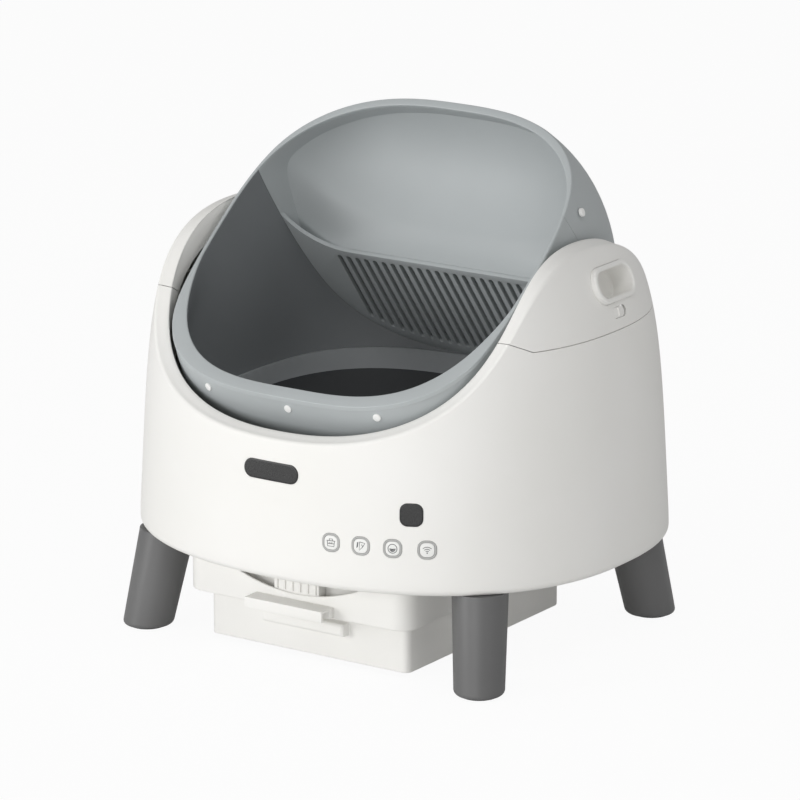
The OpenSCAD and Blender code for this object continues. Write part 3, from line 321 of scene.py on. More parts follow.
# %% [markdown]
# The shell's wall follows one rounded plan outline that shrinks as it rises, like a dome, and stops at
# a rim that is low in front, high on both ears and low again behind. A ring of upright sections gives
# this shape more exactly than pushing points by hand. A torus has just the right faces for it: each of
# its small circles becomes one section of the wall, with its rounded bottom edge, its crest, the lip
# that points inwards and, along the ears, a skirt that hangs from the lip.

# %% The shell's outline
HALF_W, HALF_D = 280, 241
BOTTOM_Z, WIDEST_Z, DOME_H = 106, 120, 357
FRONT_POWER, BACK_POWER, SIDE_POWER, SIDE_LEAN = 2.27, 2.54, 4.9, 0.068
EAR_Y, EAR_Z, FRONT_Z, BACK_Z = 12, 436, 256, 302


def shrink(z):
    """Share of its widest size that the dome still has at a height."""
    t = max(0.0, z - WIDEST_Z) / DOME_H
    return (1 - SIDE_LEAN * t) * (1 - t ** SIDE_POWER) ** (1 / SIDE_POWER)


def signed_power(value, exponent):
    return math.copysign(abs(value) ** exponent, value)


def plan_power(along):
    """The plan is rounder in front than behind."""
    return FRONT_POWER if along < 0 else BACK_POWER


def other_leg(share, power):
    """Share across the width that goes with a share along the depth, or the other way round."""
    return max(0.0, 1 - abs(share) ** power) ** (1 / power)


def bezier(points, t):
    weights = ((1 - t) ** 3, 3 * (1 - t) ** 2 * t, 3 * (1 - t) * t * t, t ** 3)
    return [sum(w * p[i] for w, p in zip(weights, points)) for i in range(len(points[0]))]


def last_inside(low, high, inside):
    """Largest value between two others that still passes the test, found by halving."""
    for _ in range(40):
        middle = (low + high) / 2
        if inside(middle):
            low = middle
        else:
            high = middle
    return low


FRONT_PULL, EAR_FRONT_PULL, EAR_BACK_PULL, BACK_PULL = (118, 87), 142, 165, (110, 24)
front_y, back_y = -HALF_D * shrink(FRONT_Z), HALF_D * shrink(BACK_Z)
FRONT_RIM = [(front_y, FRONT_Z), (front_y + FRONT_PULL[0], FRONT_Z + FRONT_PULL[1]),
             (EAR_Y - EAR_FRONT_PULL, EAR_Z), (EAR_Y, EAR_Z)]
BACK_RIM = [(EAR_Y, EAR_Z), (EAR_Y + EAR_BACK_PULL, EAR_Z),
            (back_y - BACK_PULL[0], BACK_Z + BACK_PULL[1]), (back_y, BACK_Z)]


def crest_z(share):
    """Height of the rim where the plan is at this share of its depth."""
    curve = FRONT_RIM if share < EAR_Y / (HALF_D * shrink(EAR_Z)) else BACK_RIM

    def before(t):
        y, z = bezier(curve, t)
        return y < share * HALF_D * shrink(z)
    return bezier(curve, last_inside(0.0, 1.0, before))[1]


print("rim heights:", [round(crest_z(s), 1) for s in (-1, -0.5, 0, 0.5, 1)])


# %% The wall's section
WALL, BOTTOM_R, CREST_R, LIP_RISE, LIP_EDGE_R, FLANGE_W = 3, 8, 4, 4, 1.5, 62
FRONT_LIP_W, EAR_LIP_W, BACK_LIP_W, LIP_POWER = 15, 14.5, 11, 4
SKIRT_H, SKIRT_T, SKIRT_FADE = 28, 3, (0.72, 0.94)
INNER_DROP, INNER_CORNER = 7, 3
WALL_ROWS, INNER_ROWS, SKIRT_ROWS, FINE, ROW_CROWDING = 34, 12, 6, 6, 1.7


def eased(value, low, high):
    """Rises smoothly from 0 at the low value to 1 at the high one."""
    t = max(0.0, min(1.0, (value - low) / (high - low)))
    return t * t * (3 - 2 * t)


def arc(across, up, radius, first, last, steps):
    """Points on a round, from one angle in degrees to another."""
    turns = [math.radians(first + (last - first) * i / steps) for i in range(steps + 1)]
    return [(across + radius * math.cos(t), up + radius * math.sin(t)) for t in turns]


def section(crest, lip_w, skirt_h):
    """Distance in from the outer face and height: up the outside, round the lip's skirt, down the inside."""
    low, high = BOTTOM_Z + BOTTOM_R, crest - CREST_R
    rows = [1 - (1 - j / WALL_ROWS) ** ROW_CROWDING for j in range(1, WALL_ROWS)]
    tip = lip_w - LIP_EDGE_R
    inner_top, inner_low = crest - INNER_DROP, BOTTOM_Z + WALL + INNER_CORNER
    lip_top = crest + LIP_RISE
    skirt_top, skirt_low = lip_top - LIP_EDGE_R, lip_top - 2 * LIP_EDGE_R - skirt_h

    def hang(z):
        """Distance in that keeps the skirt upright below the tip of the lip."""
        return lip_w + HALF_W * (shrink(z) - shrink(lip_top))

    def skirt(first, last, back):
        heights = [first + (last - first) * k / SKIRT_ROWS for k in range(1, SKIRT_ROWS + 1)]
        return [(hang(z) - back, z) for z in heights]
    return (arc(BOTTOM_R, low, BOTTOM_R, 270, 180, FINE) + [(0, low + (high - low) * r) for r in rows]
            + arc(CREST_R, high, CREST_R, 180, 90, FINE)
            + [(CREST_R + (tip - CREST_R) * k / 3, crest + LIP_RISE * k / 3) for k in (1, 2)]
            + arc(tip, skirt_top, LIP_EDGE_R, 90, 0, FINE) + skirt(skirt_top, skirt_low + 1, 0)
            + [(hang(skirt_low) - 1, skirt_low), (hang(skirt_low) - SKIRT_T + 1, skirt_low)]
            + skirt(skirt_low + 1, crest - 1, SKIRT_T) + [(WALL + 2, crest - 4)]
            + [(WALL, inner_top + (inner_low - inner_top) * j / INNER_ROWS) for j in range(INNER_ROWS + 1)]
            + [(WALL + INNER_CORNER, BOTTOM_Z + WALL), (FLANGE_W, BOTTOM_Z + WALL), (FLANGE_W, BOTTOM_Z)])


print("section:", len(section(EAR_Z, EAR_LIP_W, SKIRT_H)), "points")

# %% The whole shell
COLUMNS = 224


def shell_ring(name):
    alone()
    rows = len(section(EAR_Z, EAR_LIP_W, SKIRT_H))
    bpy.ops.mesh.primitive_torus_add(major_segments=COLUMNS, minor_segments=rows)
    ring = named(name)
    for column in range(COLUMNS):
        turn = 2 * math.pi * column / COLUMNS
        bend = 2 / plan_power(math.sin(turn))
        across, along = (signed_power(f(turn), bend) for f in (math.cos, math.sin))
        lip_end = FRONT_LIP_W if along < 0 else BACK_LIP_W
        lip_w = EAR_LIP_W + (lip_end - EAR_LIP_W) * along ** LIP_POWER
        skirt_h = SKIRT_H * (1 - eased(abs(along), *SKIRT_FADE))
        for row, (inset, z) in enumerate(section(crest_z(along), lip_w, skirt_h)):
            ring.data.vertices[column * rows + row].co = MM * Vector((
                (HALF_W * shrink(z) - inset) * across, (HALF_D * shrink(z) - inset) * along, z))
    return faced_out(ring)


shell = shell_ring("shell_body")
print("shell:", len(shell.data.vertices), "vertices")

# %% [markdown]
# Each ear is a cap of its own that lifts off. Its parting line runs level round the side and turns up
# towards the front. A wedge with that outline cuts the ring: what is inside the wedge becomes the two
# caps, and what is outside stays the shell. The wedge moves up a little for the caps, which leaves the
# fine gap that shows as a line.

# %% Cut off the ear caps
PART_Z, PART_KINK_Y, PART_SLOPE, PART_GAP = 353.5, -108, 0.5, 0.8


def wedge(lift):
    reach, top, back = 120, 700, 350
    outline = [(PART_KINK_Y, PART_Z), (back, PART_Z), (back, top), (PART_KINK_Y - reach, top),
               (PART_KINK_Y - reach, PART_Z + PART_SLOPE * reach)]
    alone()
    bpy.ops.mesh.primitive_circle_add(vertices=len(outline), fill_type="NGON")
    cutter = named("parting_wedge")
    for vertex, (y, z) in zip(cutter.data.vertices, outline):
        vertex.co = MM * Vector((-back, y, z + lift))
    alone(cutter)
    bpy.ops.object.mode_set(mode="EDIT")
    bpy.ops.mesh.select_all(action="SELECT")
    bpy.ops.mesh.extrude_region_move(TRANSFORM_OT_translate={"value": (2 * back * MM, 0, 0)})
    return faced_out(cutter)


def cut(obj, cutter, operation="DIFFERENCE"):
    """Cuts an object with another, which is then deleted."""
    modified(obj, "BOOLEAN", object=cutter, operation=operation, solver="EXACT")
    alone(cutter)
    bpy.ops.object.delete()


caps = shell_ring("right_ear")
cut(shell, wedge(0))
cut(caps, wedge(PART_GAP), "INTERSECT")
alone(caps)
bpy.ops.object.mode_set(mode="EDIT")
bpy.ops.mesh.select_all(action="SELECT")
bpy.ops.mesh.separate(type="LOOSE")
alone()
ears = sorted((o for o in bpy.data.objects if o.name.startswith("right_ear.") or o.name == "right_ear"),
              key=lambda o: o.data.vertices[0].co.x)
print("ear caps:", [(o.name, len(o.data.polygons)) for o in ears])
left_ear, right_ear = ears[0], ears[-1]
left_ear.name, right_ear.name = "ear_cap_left", "ear_cap_right"

# %% [markdown]
# The windows, keys and handles sit in the curved wall, so each of them is made flat first and then put
# on the wall with a matrix that stands on it. A plate is a cube whose four long edges are bevelled to
# its corner radius. The same plates, a little larger, cut the openings.

# %% Places on the wall and rounded plates
def shell_x(y, z):
    share = y / (HALF_D * shrink(z))
    return HALF_W * shrink(z) * other_leg(share, plan_power(share))


def shell_y(x, z):
    return -HALF_D * shrink(z) * other_leg(x / (HALF_W * shrink(z)), FRONT_POWER)


def on_front(x, z):
    """Stands on the front wall, with -Y pointing out of it."""
    width, depth = HALF_W * shrink(z), HALF_D * shrink(z)
    steep = HALF_D * (shrink(z - 1) - shrink(z + 1)) / 2
    turn = math.atan2((x / width) ** (FRONT_POWER - 1) / width,
                      other_leg(x / width, FRONT_POWER) ** (FRONT_POWER - 1) / depth)
    return (Matrix.Translation(MM * Vector((x, shell_y(x, z), z))) @ Matrix.Rotation(turn, 4, "Z")
            @ Matrix.Rotation(-math.atan(steep), 4, "X"))


def on_ear(y, z):
    """Stands on the right ear, with -Y pointing out of it and X along the depth."""
    steep = HALF_W * (shrink(z - 1) - shrink(z + 1)) / 2
    return (Matrix.Translation(MM * Vector((shell_x(y, z), y, z)))
            @ Matrix.Rotation(-math.atan(steep), 4, "Y") @ Matrix.Rotation(math.pi / 2, 4, "Z"))


def plate(name, width, height, corner, out, deep, segments=10):
    """A plate with round corners, from a distance out of the wall to a depth in it."""
    alone()
    bpy.ops.mesh.primitive_cube_add(size=1)
    obj = named(name)
    obj.scale = MM * Vector((width, out + deep, height))
    obj.location = (0, MM * (deep - out) / 2, 0)
    settled(obj)

    def runs_in(edge):
        a, b = ends(obj, edge)
        return abs(a.y - b.y) > 0.5 * (out + deep)
    pick(obj, "EDGE", runs_in)
    bpy.ops.mesh.bevel(offset=min(corner, height / 2 - 0.4) * MM, segments=segments, affect="EDGES")
    alone(obj)
    return obj


def mirrored(obj, name):
    """A copy on the other side of the middle plane."""
    copy = bpy.data.objects.new(name, obj.data.copy())
    bpy.context.collection.objects.link(copy)
    copy.scale.x = -1
    return faced_out(settled(copy))


DISPLAY, SENSOR = on_front(0, 221), on_front(154.5, 192.5)
KEY_FIRST_X, KEY_STEP, KEY_Z = 73.5, 32.1, 156.5
KEYS = {name: on_front(KEY_FIRST_X + KEY_STEP * i, KEY_Z)
        for i, name in enumerate(("key_empty", "key_clean", "key_pause", "key_wireless"))}
HANDLE, LATCH = on_ear(33, 400) @ Matrix.Rotation(math.radians(6), 4, "Z"), on_ear(27, 371)
print("places:", len(KEYS) + 4)

# %% Cut the openings and finish the shell
FIT, CUT_REACH = 0.3, 9
DISPLAY_SIZE, SENSOR_SIZE, KEY_SIZE = (67, 20, 10), (24, 24, 8), (19.5, 19.5, 8)
for spot, (width, height, corner) in [(DISPLAY, DISPLAY_SIZE), (SENSOR, SENSOR_SIZE)] + [
        (spot, KEY_SIZE) for spot in KEYS.values()]:
    opening = plate("opening", width + 2 * FIT, height + 2 * FIT, corner + FIT, CUT_REACH, CUT_REACH)
    cut(shell, settled(opening, spot))
INLET_X, INLET_Z, INLET_R = 70, 130, 5.5
alone()
bpy.ops.mesh.primitive_cylinder_add(
    vertices=48, radius=(INLET_R + FIT) * MM, depth=0.08,
    location=(INLET_X * MM, 0.235, INLET_Z * MM), rotation=(math.pi / 2, 0, 0))
cut(shell, named("inlet_opening"))
HANDLE_L, HANDLE_H = 86, 40
handle_hole = settled(plate("handle_opening", HANDLE_L + 2 * FIT, HANDLE_H + 2 * FIT, HANDLE_H / 2 + FIT,
                            60, 40, 16), HANDLE)
LATCH_SLOT_L, LATCH_SLOT_H, LATCH_TRAVEL = 26, 12, 4
latch_hole = settled(plate("latch_opening", LATCH_SLOT_L, LATCH_SLOT_H, 5.5, 30, 9), LATCH)
cut(left_ear, mirrored(handle_hole, "left_handle_opening"))
cut(left_ear, mirrored(latch_hole, "left_latch_opening"))
cut(right_ear, handle_hole)
cut(right_ear, latch_hole)
for obj, body, node in ((shell, "base", "base_shell"), (left_ear, "left_cap", "left_ear_cap"),
                        (right_ear, "right_cap", "right_ear_cap")):
    hand_over(smoothed(obj, 32), body, "shell_white", shell_white, node)

# %% [markdown]
# The display and the eye of the sensor hide behind smoked windows. Each is a plate with a bevelled
# front. Its face is inset, and the narrow border outside the inset takes a darker plastic, as the
# painted border behind a real lens does.

# %% The windows
def window(name, size, spot, node):
    obj = rounded(plate(name, *size, 0.4, 5, 14), 0.5, 2)
    pick(obj, "FACE", lambda f: f.normal.y < -0.99)
    bpy.ops.mesh.inset(thickness=1.1 * MM)
    alone(obj)
    obj.data.materials.append(lens_edge)
    obj.data.materials.append(lens_black)
    for face in obj.data.polygons:
        face.material_index = int(face.select)
    settled(obj, spot)
    return hand_over(obj, "base", "dark_lens", lens_black, node)


window("display_lens", DISPLAY_SIZE, DISPLAY, "display_window")
window("sensor_lens", SENSOR_SIZE, SENSOR, "sensor_window")

# %% [markdown]
# Four push keys sit in grey rings. A ring is a plate whose face is inset and pushed in, which leaves a
# square well, and the key in it is a smaller plate. The icons are thin raised lines: curves with a
# round bevel, flattened and turned into meshes.

# %% Key rings and keys
KEY_RING_W = 2.0


def key_ring(spot):
    ring = plate("key_ring", *KEY_SIZE, 0.3, 9)
    pick(ring, "FACE", lambda f: f.normal.y < -0.99)
    bpy.ops.mesh.inset(thickness=KEY_RING_W * MM)
    bpy.ops.mesh.extrude_region_move(TRANSFORM_OT_translate={"value": (0, 9.2 * MM, 0)})
    bpy.ops.mesh.delete(type="ONLY_FACE")
    alone(ring)
    pick(ring, "FACE", lambda f: f.normal.y > 0.99)
    bpy.ops.mesh.inset(thickness=KEY_RING_W * MM)
    bpy.ops.mesh.delete(type="FACE")
    bpy.ops.mesh.select_all(action="SELECT")
    bpy.ops.mesh.remove_doubles(threshold=0.15 * MM)
    return settled(rounded(ring, 0.3, 2), spot)


rings = joined([key_ring(spot) for spot in KEYS.values()], "key_ring_set")
hand_over(rings, "base", "ring_grey", ring_grey, "key_rings")
for name, spot in KEYS.items():
    side = KEY_SIZE[0] - 2 * (KEY_RING_W + FIT)
    key = rounded(plate(name + "_button", side, side, 5.7, 0.4, 5), 0.45, 3)
    hand_over(settled(key, spot), name, "key_white", key_white, name)


# %% Key icons
def circle_points(radius, first, last, steps, up=0.0):
    return [(x, z + up) for x, z in arc(0, 0, radius, first, last, steps)]


ICON_SCALE = 1.2
ICONS = {
    "key_empty": [[(-3.3, 1.2), (-3.0, -3.2), (3.0, -3.2), (3.3, 1.2)], [(-4, 1.6), (4, 1.6)],
                  [(-1.5, 1.8), (-1.5, 3.2), (1.5, 3.2), (1.5, 1.8)], [(-3.1, -0.9), (3.1, -0.9)],
                  [(-0.9, 0.3), (-0.9, -0.9)], [(0.9, 0.3), (0.9, -0.9)]],
    "key_clean": [[(-2.8, 3.2), (-3.4, -1.8)], [(-2.3, 3.2), (-2.7, -1.2)],
                  [(-0.9, 3.5), (3.9, 2.7), (1.9, -0.6), (-1.2, -3.9), (-0.9, 3.5)],
                  [(0.9, 1.5), (1.9, -0.6)]],
    "key_pause": [circle_points(3.9, 0, 360, 28)] + [
        circle_points(radius, 170, 370, 16, -0.2) for radius in (2.3, 1.6, 0.9, 0.3)],
    "key_wireless": [circle_points(5.4, 48, 132, 14, -2.8), circle_points(3.6, 48, 132, 12, -2.8),
                     circle_points(1.9, 48, 132, 8, -2.8), circle_points(0.35, 0, 360, 8, -2.6)]}
for name, strokes in ICONS.items():
    line = bpy.data.curves.new(name + "_icon", "CURVE")
    line.dimensions = "3D"
    line.bevel_depth = 0.4 * MM
    line.bevel_resolution = 1
    line.use_fill_caps = True
    for stroke in strokes:
        spline = line.splines.new("POLY")
        spline.points.add(len(stroke) - 1)
        for point, (x, z) in zip(spline.points, stroke):
            point.co = (x * ICON_SCALE * MM, 0, z * ICON_SCALE * MM, 1)
    icon = bpy.data.objects.new(name + "_icon", line)
    bpy.context.collection.objects.link(icon)
    alone(icon)
    bpy.ops.object.convert(target="MESH")
    icon = bpy.context.object
    icon.scale.y = 0.4
    icon.location.y = -0.42 * MM
    smoothed(settled(icon), 60)
    hand_over(settled(icon, KEYS[name]), name, "ring_grey", icon_grey)

# %% [markdown]
# A hand goes into each ear's recess to lift the cap. The recess is a pill-shaped plate whose face is
# inset and pushed in, so that a rounded bezel stays around it. A slide below it, with one ridge for a
# fingertip, locks the cap.

# %% Handle cups and latches
CUP_PROUD, CUP_DEEP, CUP_BEZEL_W = 2.2, 26, 5.6
cup = plate("handle_cup_right", HANDLE_L, HANDLE_H, HANDLE_H / 2, CUP_PROUD, CUP_DEEP, 16)
pick(cup, "FACE", lambda f: f.normal.y < -0.99)
bpy.ops.mesh.inset(thickness=CUP_BEZEL_W * MM)
bpy.ops.mesh.extrude_region_move(TRANSFORM_OT_translate={"value": (0, CUP_DEEP * MM, 0)})
rounded(cup, 1.8, 4)
settled(cup, HANDLE)
hand_over(mirrored(cup, "handle_cup_left"), "left_cap", "shell_white", shell_white, "left_handle_cup")
hand_over(cup, "right_cap", "shell_white", shell_white, "right_handle_cup")


def merged(name, node):
    """A copy of a CAD node with its triangles joined to faces."""
    obj = bpy.data.objects.new(name, frame["nodes"][node].data.copy())
    bpy.context.collection.objects.link(obj)
    obj.data.materials.clear()
    alone(obj)
    bpy.ops.mesh.customdata_custom_splitnormals_clear()
    bpy.ops.object.mode_set(mode="EDIT")
    bpy.ops.mesh.select_all(action="SELECT")
    bpy.ops.mesh.remove_doubles(threshold=0.01 * MM)
    bpy.ops.mesh.dissolve_limited(angle_limit=math.radians(1))
    alone(obj)
    return obj


def softened(name, node, width, segments=2, angle=30):
    """A copy of a CAD node with its edges rounded."""
    return rounded(merged(name, node), width, segments, angle)


slide_l, slide_h = LATCH_SLOT_L - LATCH_TRAVEL - 2 * FIT, LATCH_SLOT_H - 2 * FIT
slide = rounded(plate("latch_slide_right", slide_l, slide_h, 5.2, -0.2, 5), 0.5)
ridge = rounded(plate("latch_ridge", 1.8, slide_h - 3, 0.8, 0.9, 2), 0.4)
slide = joined([slide, ridge], "latch_slide_right")
settled(slide, LATCH @ Matrix.Translation((-LATCH_TRAVEL / 2 * MM, 0, 0)))
hand_over(mirrored(slide, "latch_slide_left"), "left_latch", "shell_white", shell_white, "left_latch")
hand_over(slide, "right_latch", "shell_white", shell_white, "right_latch")

# %% [markdown]
# The legs are dark grey tapered cylinders that lean out to their feet. A cone is added along the line
# from the shell to the foot, cut level at both ends with bisect, and its foot edge is bevelled.

# %% Legs
LEG_TOP, FOOT, LEG_TOP_R, FOOT_R, PAD_Z = (199, 147), (212, 168), 29.5, 26.5, 1.5
LEG_SPARE, FOOT_ROUND = 20, 5


def sliced(obj, level, direction, keep):
    """Cuts off one side of a plane and closes the cut."""
    pick(obj, "FACE", lambda f: True)
    bpy.ops.mesh.bisect(plane_co=level, plane_no=direction, use_fill=True, **{keep: True})
    alone(obj)


for across, side in ((-1, "left"), (1, "right")):
    for along, end in ((-1, "front"), (1, "rear")):
        top = Vector((across * LEG_TOP[0], along * LEG_TOP[1], BOTTOM_Z))
        foot = Vector((across * FOOT[0], along * FOOT[1], 0))
        axis = top - foot
        grow = (LEG_TOP_R - FOOT_R) / axis.length * LEG_SPARE
        alone()
        bpy.ops.mesh.primitive_cone_add(
            vertices=80, radius1=(FOOT_R - grow) * MM, radius2=(LEG_TOP_R + grow) * MM,
            depth=(axis.length + 2 * LEG_SPARE) * MM, location=(top + foot) / 2 * MM,
            rotation=axis.to_track_quat("Z", "Y").to_euler())
        leg = settled(named(f"leg_{end}_{side}"))
        for level, keep in ((BOTTOM_Z, "clear_outer"), (PAD_Z, "clear_inner")):
            sliced(leg, (0, 0, level * MM), (0, 0, 1), keep)
        pick(leg, "EDGE", lambda e: all(abs(p.z - PAD_Z) < 0.01 for p in ends(leg, e)))
        bpy.ops.mesh.bevel(offset=FOOT_ROUND * MM, segments=6, affect="EDGES")
        hand_over(smoothed(leg, 35), "base", "leg_grey", leg_grey, f"{end}_{side}_leg")
hand_over(softened("foot_pads", "rubber_feet", 0.6), "base", "foot_rubber", foot_rubber, "rubber_feet")

# %% [markdown]
# The drum is a hollow ball, flattened at both sides and cut open by a tilted plane. A sphere can be
# folded into it: its lower half becomes the outer wall, and its upper half is pushed down inside as the
# inner wall, with the rim between them. Each meridian follows one profile, so the width of the rim, the
# bead on its outer edge and the hood's smaller size can change smoothly round the opening.

# %% The drum's profile
AXIS_Z, TILT = 362, math.radians(38)
DRUM_W, DRUM_R, DRUM_END, DRUM_POWER, DRUM_WALL = 212, 221, 204, 3.1, 4
OPEN_H, SPLIT_H = 75, 74
DRUM = Matrix.Translation((0, 0, AXIS_Z * MM)) @ Matrix.Rotation(TILT, 4, "X")
FLAT_BLEND = 24
HOOD_LESS_R, HOOD_LESS_POWER = 7, 0.4
POLE = -math.pi / 2


def drum_size(along, up):
    """Radius and power of the ball in a direction: the hood is smaller and rounder than the bowl."""
    share = eased(along / max(1e-9, math.hypot(along, up)), 0.25, 0.8)
    return DRUM_R - HOOD_LESS_R * share, DRUM_POWER - HOOD_LESS_POWER * share


def ball_share(x, y, z, thick):
    """1 on a wall of this thickness, and less inside it."""
    radius, power = drum_size(y, z)
    return ((abs(x) / (DRUM_W - thick)) ** power
            + (math.hypot(y, z) / (radius - thick)) ** power) ** (1 / power)


def ball_point(turn, climb, thick):
    """Distance out and height where a ray at these angles meets a wall of this thickness."""
    across, along = math.cos(climb) * math.cos(turn), math.cos(climb) * math.sin(turn)
    up = math.sin(climb)
    ball = ball_share(across, along, up, thick)
    flat = abs(across) / (DRUM_END - thick)
    reach = (ball ** FLAT_BLEND + flat ** FLAT_BLEND) ** (-1 / FLAT_BLEND)
    return reach * math.cos(climb), reach * up


def climb_to(turn, height, thick):
    """Angle of the ray that meets the wall at this height."""
    return last_inside(POLE, -POLE, lambda climb: ball_point(turn, climb, thick)[1] < height)


RIM_SIDE_W, RIM_HOOD_MORE, RIM_FRONT_MORE, RIM_FRONT_LESS = 3.4, 6.2, 13.6, 3.4


def rim_w(turn):
    """Width of the flat rim: broad in front, narrower on the hood, thin at the sides."""
    along = abs(math.sin(turn))
    if math.sin(turn) > 0:
        return RIM_SIDE_W + RIM_HOOD_MORE * eased(along, 0.3, 0.85)
    return (RIM_SIDE_W + RIM_FRONT_MORE * eased(along, 0.2, 0.68)
            - RIM_FRONT_LESS * eased(along, 0.7, 1))


BEAD_H, BEAD_OUT, BEAD_STEP, BLEND_ROWS = 4.0, 0.9, 0.5, 8


def meridian(turn, thick, rim_width, wall_rows, edge_r=1.3, blend_h=44):
    """Profile from the inner pole up the inside, over the rim and down the outside to the outer pole."""
    rim_r = ball_point(turn, climb_to(turn, OPEN_H, 0), 0)[0]
    tip = rim_r - rim_width
    edge = min(edge_r, rim_width * 0.4)
    blend_low = OPEN_H - blend_h
    spare = ball_point(turn, climb_to(turn, OPEN_H - edge, thick), thick)[0] - tip
    low = climb_to(turn, blend_low, thick)
    points = [ball_point(turn, POLE + (low - POLE) * i / wall_rows, thick) for i in range(wall_rows + 1)]
    for i in range(1, BLEND_ROWS + 1):
        z = blend_low + (blend_h - edge) * i / BLEND_ROWS
        wall = ball_point(turn, climb_to(turn, z, thick), thick)[0]
        points.append((wall - spare * eased(i, 0, BLEND_ROWS), z))
    points += arc(tip + edge, OPEN_H - edge, edge, 180, 90, 4)[1:]
    points.append(((tip + edge + rim_r - edge_r * 0.5) / 2, OPEN_H))
    bead = BEAD_OUT * (0.1 + 0.9 * eased(-math.sin(turn), -0.3, 0.2))
    points += arc(rim_r + bead - edge, OPEN_H - edge, edge, 90, 0, 4)
    points.append((ball_point(turn, climb_to(turn, OPEN_H - BEAD_H, 0), 0)[0] + bead, OPEN_H - BEAD_H))
    high = climb_to(turn, OPEN_H - BEAD_H - BEAD_STEP, 0)
    return points + [ball_point(turn, high + (POLE - high) * i / wall_rows, 0) for i in range(wall_rows + 1)]


print("meridian:", len(meridian(0, DRUM_WALL, rim_w(0), 30)), "points")

# %% Fold the sphere
DRUM_TURNS, DRUM_ROWS = 176, 34


def folded_ball(name, profile):
    """A sphere whose rings follow the profile of each meridian."""
    steps = len(profile(0)) - 1
    alone()
    bpy.ops.mesh.primitive_uv_sphere_add(segments=DRUM_TURNS, ring_count=steps, radius=1)
    ball = named(name)
    profiles = {}
    for vertex in ball.data.vertices:
        x, y, z = vertex.co
        ring = round(math.acos(max(-1, min(1, z))) / math.pi * steps)
        spoke = round(math.atan2(y, x) / (2 * math.pi) * DRUM_TURNS) % DRUM_TURNS
        turn = 2 * math.pi * spoke / DRUM_TURNS
        if spoke not in profiles:
            profiles[spoke] = profile(turn)
        out, up = profiles[spoke][ring]
        vertex.co = MM * Vector((out * math.cos(turn), out * math.sin(turn), up))
    return ball


def drum_profile(turn):
    return meridian(turn, DRUM_WALL, rim_w(turn), DRUM_ROWS)


SEAM, LINING_DROP = 0.15, 2.6
bowl = folded_ball("drum_front_bowl", drum_profile)
sliced(bowl, (0, (SPLIT_H - SEAM) * MM, 0), (0, 1, 0), "clear_outer")
hood = folded_ball("drum_rear_hood", drum_profile)
sliced(hood, (0, (SPLIT_H + SEAM) * MM, 0), (0, 1, 0), "clear_inner")
for finish in (drum_grey, bowl_dark):
    bowl.data.materials.append(finish)
lining_z = (OPEN_H - LINING_DROP) * MM
for face in bowl.data.polygons:
    face.material_index = int(face.normal.dot(face.center) < 0 and face.center.z < lining_z)
for obj, node in ((bowl, "drum_bowl"), (hood, "drum_hood")):
    hand_over(settled(smoothed(obj, 40), DRUM), "drum", "drum_grey", drum_grey, node)

# %% [markdown]
# Behind the bowl stands the sifting screen, a wall with a row of slots, and above it a curved lid closes
# the pocket that catches the clumps. The lid is a grid that is shaped as one smooth scoop: level at the
# screen, and rising all round to the hood's wall just under its rim. Solidify gives it its thickness.

# %% Sifting screen and pocket lid
screen = softened("screen_grille", "sifting_screen", 0.9, 3)
hand_over(screen, "drum", "drum_grey", drum_grey, "sifting_screen")
LID_FRONT_Y, LID_FRONT_Z, LID_BRIM_Z = SPLIT_H + 4.8, -50, 62
LID_ROUND, LID_RISE_L, LID_SUNK, LID_T = 2.3, 38, 2.6, 1.6
LID_ACROSS, LID_ALONG = 60, 40


def lid_share(x, y):
    """1 where the lid reaches the hood's wall at the brim, and less inside."""
    return ball_share(x, y, LID_BRIM_Z, LID_SUNK)


lid_half_w = min(DRUM_END - LID_SUNK, last_inside(0, DRUM_W, lambda x: lid_share(x, LID_FRONT_Y) < 1))
lid_depth = (LID_BRIM_Z - LID_FRONT_Z) / (1 - lid_share(0, LID_FRONT_Y) ** LID_ROUND) ** (1 / LID_ROUND)
alone()
bpy.ops.mesh.primitive_grid_add(x_subdivisions=LID_ACROSS, y_subdivisions=LID_ALONG, size=2)
lid = named("pocket_cover")
for vertex in lid.data.vertices:
    x = lid_half_w * math.sin(vertex.co.x * math.pi / 2)
    back = last_inside(LID_FRONT_Y, DRUM_R, lambda y: lid_share(x, y) < 1)
    y = LID_FRONT_Y + (back - LID_FRONT_Y) * math.sin((vertex.co.y + 1) * math.pi / 4)
    scoop = LID_BRIM_Z - lid_depth * max(0.0, 1 - lid_share(x, y) ** LID_ROUND) ** (1 / LID_ROUND)
    rise = eased(y, LID_FRONT_Y, LID_FRONT_Y + LID_RISE_L)
    vertex.co = MM * Vector((x, y, LID_FRONT_Z + (scoop - LID_FRONT_Z) * rise))
modified(lid, "SOLIDIFY", thickness=LID_T * MM, offset=-1)
hand_over(settled(smoothed(lid, 40), DRUM), "drum", "drum_grey", drum_grey, "pocket_lid")

# %% [markdown]
# A dark rubber liner covers the drum's floor. It is the same folded sphere, thinner, and cut level at
# its edge. The band along that edge is painted a lighter grey than the floor: a painted highlight that
# stands for the light a raised ledge would catch, since the band itself is as smooth as the floor. The
# rim's studs are copies of their solids, and those on the hood move in with its smaller wall.

# %% Floor liner and rim studs
LINER_Z, LINER_BAND, LINER_CLIMB = 246.8, 20, 1.75
LINER_INNER, LINER_OUTER = 7.4, 4.4


def liner_profile(turn):
    inner, outer = [[ball_point(turn, POLE + LINER_CLIMB * i / DRUM_ROWS, t) for i in range(DRUM_ROWS + 1)]
                    for t in (LINER_INNER, LINER_OUTER)]
    return inner + outer[::-1]


